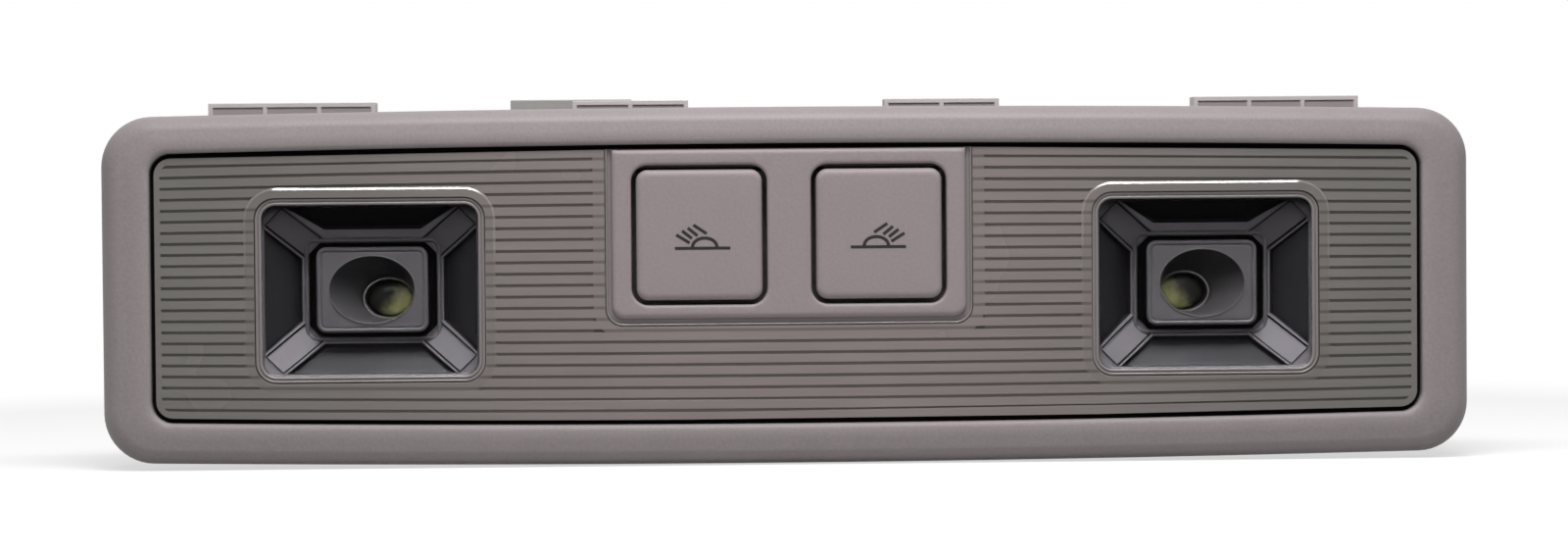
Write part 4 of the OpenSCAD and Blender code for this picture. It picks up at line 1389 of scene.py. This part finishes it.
            # Painted highlights: the corners of the join are marked light, more so at the bottom.
            across, up, _ = face.calc_center_median() - Vector((*self.centre, 0))
            if abs(across) > self.window.half_w - self.corner and abs(up) > self.window.half_h - self.corner:
                face[mark] = Mark.LOWER_CORNER if up < 0 else Mark.UPPER_CORNER
        piece.loft(flange)
        ledge = self.placed(Outline(*self.foot, 1.8))
        boss = self.placed(self.boss)
        tube = FACE.board_top + 1.02
        crown, foot = self.boss_z, self.foot_z
        socket, mouth = self.oval(1, 0.8), self.oval(0, 0.3)
        behind = [
            flange[-1], (ledge.inset(-self.wall), foot - self.wall),
            (ledge.inset(-0.1), self.moat_z - self.wall), (boss, self.moat_z - self.wall),
            (boss, tube), (socket, tube), (socket, self.hole_z), (mouth, crown - 0.6), (mouth, crown),
        ]
        piece.loft(behind)
        piece.loft([behind[-1]] + boss.around((
            (1.05, crown), (0.86, crown - 0.14), (0.72, crown - 0.02), (0.55, crown + 0.1),
            (0.32, crown + 0.1), (0.14, crown - 0.04), (0.03, crown - 0.26), (0, crown - 0.6),
        )))
        shore = ledge.inset(0.95)
        moat = [(boss, crown - 0.6), (boss, self.moat_z), (shore, self.moat_z), (shore, foot - 0.1)]
        # Painted shade: the moat is marked black.
        for face in piece.loft(moat):
            face[mark] = Mark.BLACK
        ridge = ledge.around((
            (0.95, foot - 0.1), (0.87, foot + 0.14), (0.7, foot + 0.3), (0.4, foot + 0.3),
            (0.22, foot + 0.14), (0.1, foot + 0.02),
        ))
        piece.loft(ridge)
        with piece.plain(1):
            piece.join(ridge[-1], lower)
        return piece.build(Look.WELL, "shade_plastic", 35)

    def oval(self, down: float, grow: float) -> Oval:
        """One oval of the leaning bowl.

        Args:
            down: 0 is the bowl's mouth, and 1 is its hole.
            grow: How much larger the oval is drawn.

        Returns:
            The oval.
        """
        shrink = 1 - (1 - self.hole_share) * down
        x = self.centre[0] - self.side.value * self.lean * down
        y = self.centre[1] - self.drop * down
        return Oval(self.bowl[0] * shrink + grow, self.bowl[1] * shrink + grow, x, y)

    def reflector(self) -> bpy.types.Object:
        """The bowl: a fine lip, a curved inside, and a ring round its hole, with painted shade towards its top and
        painted highlights on the lip and the ring.

        Returns:
            The object.
        """
        piece = Piece(f"lamp_bowl_{self.side.word}")
        mouth, hole = self.boss_z, self.hole_z
        lip = ((0.28, -0.5), (0.28, 0.1), (0.1, 0.16), (-0.1, -0.02))
        stations = [(self.oval(0, grow), mouth + z) for grow, z in lip]
        for step in range(1, self.bowl_steps):
            down = step / self.bowl_steps
            swell = 0.28 * math.sin(math.pi * down)
            stations.append((self.oval(down, swell), mouth - (mouth - hole) * down ** 1.15))
        ring = (
            (0.5, hole + 0.02), (0.42, hole + 0.2), (0.2, hole + 0.24), (0.04, hole + 0.05),
            (0.0, hole - 0.4), (0.0, self.tube_z), (0.7, self.tube_z), (0.7, hole),
        )
        stations += [(self.oval(1, grow), z) for grow, z in ring]
        stations.append((self.oval(0.2, 0.4), mouth - 1.2))
        piece.loft(stations, closed=True)
        # Painted shade and highlights: the bowl is marked darker towards its top, and its lip and hole ring light.
        mark = piece.bm.verts.layers.float.new(Mark.LAYER)
        for vert in piece.bm.verts:
            above = (vert.co.y - self.centre[1] + 3.0) / 6.0
            vert[mark] = min(1.0, max(0.0, above))
            if vert.co.z > mouth + 0.05:
                vert[mark] = Mark.BOWL_MOUTH
            elif hole + 0.15 < vert.co.z < hole + 0.3:
                vert[mark] = Mark.BOWL_HOLE
        return piece.build(Look.BOWL, "bowl_plastic", 50)

    def light(self) -> bpy.types.Object:
        """The domed phosphor lens at the bottom of the bowl, on its package.

        Returns:
            The object.
        """
        hole = self.oval(1, 0)
        middle = (hole.x, hole.y)
        name = f"phosphor_{self.side.word}"
        # Painted light on the phosphor's inboard lower side, painted shade on the rest.
        finish = Glow(name, (52, 53, 48), (255, 255, 172), middle, hole.half_w, -self.side.value)
        piece = Piece(f"spot_light_{self.side.word}")
        stations: list[Station] = [(Oval(self.package_r, self.package_r, *middle), FACE.board_top)]
        for step in range(self.dome_steps):
            turn = math.pi / 2 * step / self.dome_steps
            share = 0.96 * math.cos(turn)
            dome = replace(hole, half_w=hole.half_w * share, half_h=hole.half_h * share)
            stations.append((dome, self.dome_z + self.dome_h * math.sin(turn)))
        piece.loft(stations)
        piece.cap(stations[0])
        piece.cap(stations[-1])
        return piece.build(finish, "emitter", 60)

    def build(self) -> None:
        """Make the pane, the well, the bowl and the light."""
        word = self.side.word
        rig.replaces(self.pane(), f"window_{word}")
        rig.replaces(self.frame(), f"window_{word}")
        self.shoulder()
        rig.replaces(self.well(), f"shade_{word}")
        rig.replaces(self.reflector(), f"spot_reflector_{word}")
        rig.replaces(self.light(), f"spot_led_{word}")


@dataclass(frozen=True)
class Softened:
    """A piece whose shape comes from the frame, with its sharp edges rounded."""

    node: str
    finish: Finish
    slot: str
    bevel: float = 0.15
    body: str = LAMP
    turn: float = 28.0

    def build(self, nodes: dict[str, bpy.types.Object]) -> bpy.types.Object:
        """Copy the frame's mesh, merge it, round its edges and dress it.

        Args:
            nodes: The frame's objects by name.

        Returns:
            The object.
        """
        bm = bmesh.new()
        bm.from_mesh(nodes[self.node].data)
        bmesh.ops.remove_doubles(bm, verts=bm.verts, dist=1e-6)
        bmesh.ops.dissolve_limit(bm, angle_limit=math.radians(0.6), verts=bm.verts, edges=bm.edges)
        limit = math.radians(self.turn)
        sharp = [e for e in bm.edges if len(e.link_faces) == 2 and e.calc_face_angle(0) > limit]
        bmesh.ops.bevel(
            bm, geom=sharp, offset=self.bevel * MM, segments=2, profile=0.5, affect="EDGES", material=-1,
            clamp_overlap=True,
        )
        obj = settle(bm, f"{self.node}_moulding", self.finish, self.slot, 60, self.body)
        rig.replaces(obj, self.node)
        return obj


SOFTENED = (
    Softened("lens_cover", Look.LENS, "smoked_lens", 0.1),
    Softened("rear_housing", Look.HOUSING, "housing_plastic", 0.18),
    Softened("connector_header", Look.HEADER, "header_plastic", 0.2),
    Softened("reflector_tray", Look.WHITE, "white_plastic", 0.12),
    Softened("circuit_board", Look.BOARD, "board", 0.08),
    Softened("switch_left", Look.BLACK, "black_plastic", 0.2),
    Softened("switch_right", Look.BLACK, "black_plastic", 0.2),
    Softened("plunger_left", Look.NATURAL, "plunger_plastic", 0.3, "left_key"),
    Softened("plunger_right", Look.NATURAL, "plunger_plastic", 0.3, "right_key"),
    Softened("ambient_leds", Look.PACKAGE, "emitter", 0.1),
    Softened("connector_pins", Look.BRASS, "pin_metal", 0.1),
    Softened("driver_chip", Look.BLACK, "black_plastic", 0.08),
    Softened("capacitors", Look.CAN, "can_metal", 0.25),
    Softened("resistors", Look.BLACK, "black_plastic", 0.08),
    Softened("spring_clip_left", Look.STEEL, "spring_steel", 0.1),
    Softened("spring_clip_right", Look.STEEL, "spring_steel", 0.1),
    Softened("board_screws", Look.SCREW, "screw_steel", 0.15),
    Softened("plate_screws", Look.SCREW, "screw_steel", 0.15),
)


@dataclass(frozen=True)
class SoftBox:
    """A plain area light that looks at a point on the lamp."""

    name: str
    place: tuple[float, float, float]
    size: Pair
    power: float
    aim: tuple[float, float, float] = (0, 0, 0)

    def build(self) -> None:
        """Hang the light."""
        data = bpy.data.lights.new(self.name, "AREA")
        data.shape = "RECTANGLE"
        data.size, data.size_y = self.size
        data.energy = self.power
        obj = add_object(self.name, data)
        obj.location = self.place
        obj.rotation_euler = (Vector(self.aim) - Vector(self.place)).to_track_quat("-Z", "Y").to_euler()


@dataclass
class Studio:
    """Floor, background, lights and camera."""

    floor_z: float = -0.0305
    floor_half: float = 3.0
    floor_colour: Colour = (247, 247, 247)
    bounce: Colour = (200, 200, 200)
    card_y: float = -1.8
    card_colour: Colour = (40, 40, 42)
    daylight: float = 0.22
    boxes: tuple[SoftBox, ...] = (
        SoftBox("overhead_box", (0.01, -0.13, 0.3), (0.2, 0.12), 0.9),
        SoftBox("glint_strip", (0.0, -0.34, 0.62), (0.44, 0.03), 2.0),
        SoftBox("front_box", (0.0, -1.2, 0.8), (0.8, 0.6), 4.4),
    )
    camera_place: tuple[float, float, float] = (-0.0202, -0.6, 0.0158)
    camera_turn: tuple[float, float, float] = (88.5802, 0.4579, -1.8725)
    focal: float = 80.253

    @staticmethod
    def _hide_from(obj: bpy.types.Object, *rays: str) -> None:
        """Keep an object out of sight of some kinds of ray."""
        for ray in rays:
            setattr(obj, f"visible_{ray}", False)

    def floor(self) -> None:
        """A plain pale floor."""
        graph = Graph("pale_floor")
        cloud = graph.noise(60.0)
        camera = graph.ray("Camera")
        pale = graph.mix(camera, linear(self.bounce), linear(self.floor_colour))
        painted = graph.principled({
            "Base Color": graph.scaled(pale, 0.985 + cloud * 0.03),
            "Roughness": 0.7,
            "Specular IOR Level": 0.1,
        })
        white = graph.out("ShaderNodeEmission", {}, {"Color": WHITE, "Strength": 1.0})
        away = graph.out("ShaderNodeVectorMath", {"operation": "LENGTH"}, {0: graph.place()}, output="Value")
        seen = camera * (away.ramp(0.13, 0.3) | 0.6)
        bm = bmesh.new()
        bmesh.ops.create_grid(bm, x_segments=1, y_segments=1, size=self.floor_half)
        bmesh.ops.translate(bm, vec=(0, 0, self.floor_z), verts=bm.verts)
        floor = add_mesh("studio_floor", bm, graph.finish(graph.blend(seen, painted, white)))
        self._hide_from(floor, "glossy", "transmission")
        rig.stage(floor)

    def card(self) -> None:
        """A dark card behind and below the camera, for gloss and glass alone, so that panes stay clear."""
        graph = Graph("dark_card")
        shade = graph.scaled(linear(self.card_colour), 0.9 + graph.noise(90.0) * 0.2)
        bm = bmesh.new()
        bmesh.ops.create_grid(bm, x_segments=1, y_segments=1, size=0.5)
        bmesh.ops.scale(bm, vec=(4.0, 2.2, 1.0), verts=bm.verts)
        bmesh.ops.rotate(bm, cent=(0, 0, 0), matrix=Matrix.Rotation(math.pi / 2, 3, "X"), verts=bm.verts)
        lower = [e for e in bm.edges if max(v.co.z for v in e.verts) < -1.0]
        foot = bmesh.ops.extrude_edge_only(bm, edges=lower)["geom"]
        bmesh.ops.translate(bm, vec=(0, 3.0, 0), verts=[v for v in foot if isinstance(v, bmesh.types.BMVert)])
        bmesh.ops.translate(bm, vec=(0, self.card_y, 0), verts=bm.verts)
        material = graph.finish(graph.principled({"Base Color": shade, "Roughness": 0.9}))
        card = add_mesh("studio_flag", bm, material)
        self._hide_from(card, "camera", "diffuse", "shadow", "volume_scatter")
        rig.stage(card)

    def world(self) -> None:
        """A white background for what the camera sees, and softer daylight for the rest."""
        graph = Graph("studio", world=True)
        seen = graph.ray("Camera") | graph.ray("Glossy") | graph.ray("Transmission")
        soft, white = (
            graph.out("ShaderNodeBackground", {}, {"Color": WHITE, "Strength": strength})
            for strength in (self.daylight, 1.0)
        )
        bpy.context.scene.world = graph.finish(graph.blend(seen, soft, white))

    def camera(self) -> None:
        """A medium lens in front of the lamp, a little to the left and above."""
        data = bpy.data.cameras.new("camera")
        data.lens = self.focal
        data.sensor_width = 36
        data.sensor_fit = "HORIZONTAL"
        data.clip_end = 20
        camera = add_object("camera", data)
        camera.location = self.camera_place
        camera.rotation_euler = tuple(math.radians(value) for value in self.camera_turn)
        bpy.context.scene.camera = camera

    def build(self) -> None:
        """Set the studio up."""
        bpy.context.scene.view_settings.view_transform = "Standard"
        self.floor()
        self.card()
        self.world()
        for box in self.boxes:
            box.build()
        self.camera()


def note_size(path: str, entries: dict[str, Sequence[Sequence[float]]]) -> None:
    """Write the boxes of the frame and of the dressed lamp as plain lists."""
    with open(path, "w", encoding="utf-8") as handle:
        json.dump(entries, handle)


def corners(bounds: Sequence[Iterable[float]]) -> list[list[float]]:
    """Turn two corners into plain lists of numbers."""
    return [[float(value) for value in corner] for corner in bounds]


def main() -> None:
    """Build the lamp and its studio."""
    logging.basicConfig(level=logging.INFO, format="%(name)s: %(message)s")
    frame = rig.load()
    sizes = {"cad": corners(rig.bounds())}
    note_size("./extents.json", sizes)
    Bezel().build()
    SwitchPlate().build()
    for side in Side:
        PushButton(side).build()
        ReadingLamp(side).build()
    TabWebs().build()
    for item in SOFTENED:
        item.build(frame["nodes"])
    Studio().build()
    sizes["visual"] = corners(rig.bounds())
    note_size("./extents.json", sizes)
    LOG.info("sizes %s", sizes)


if __name__ == "__main__":
    main()
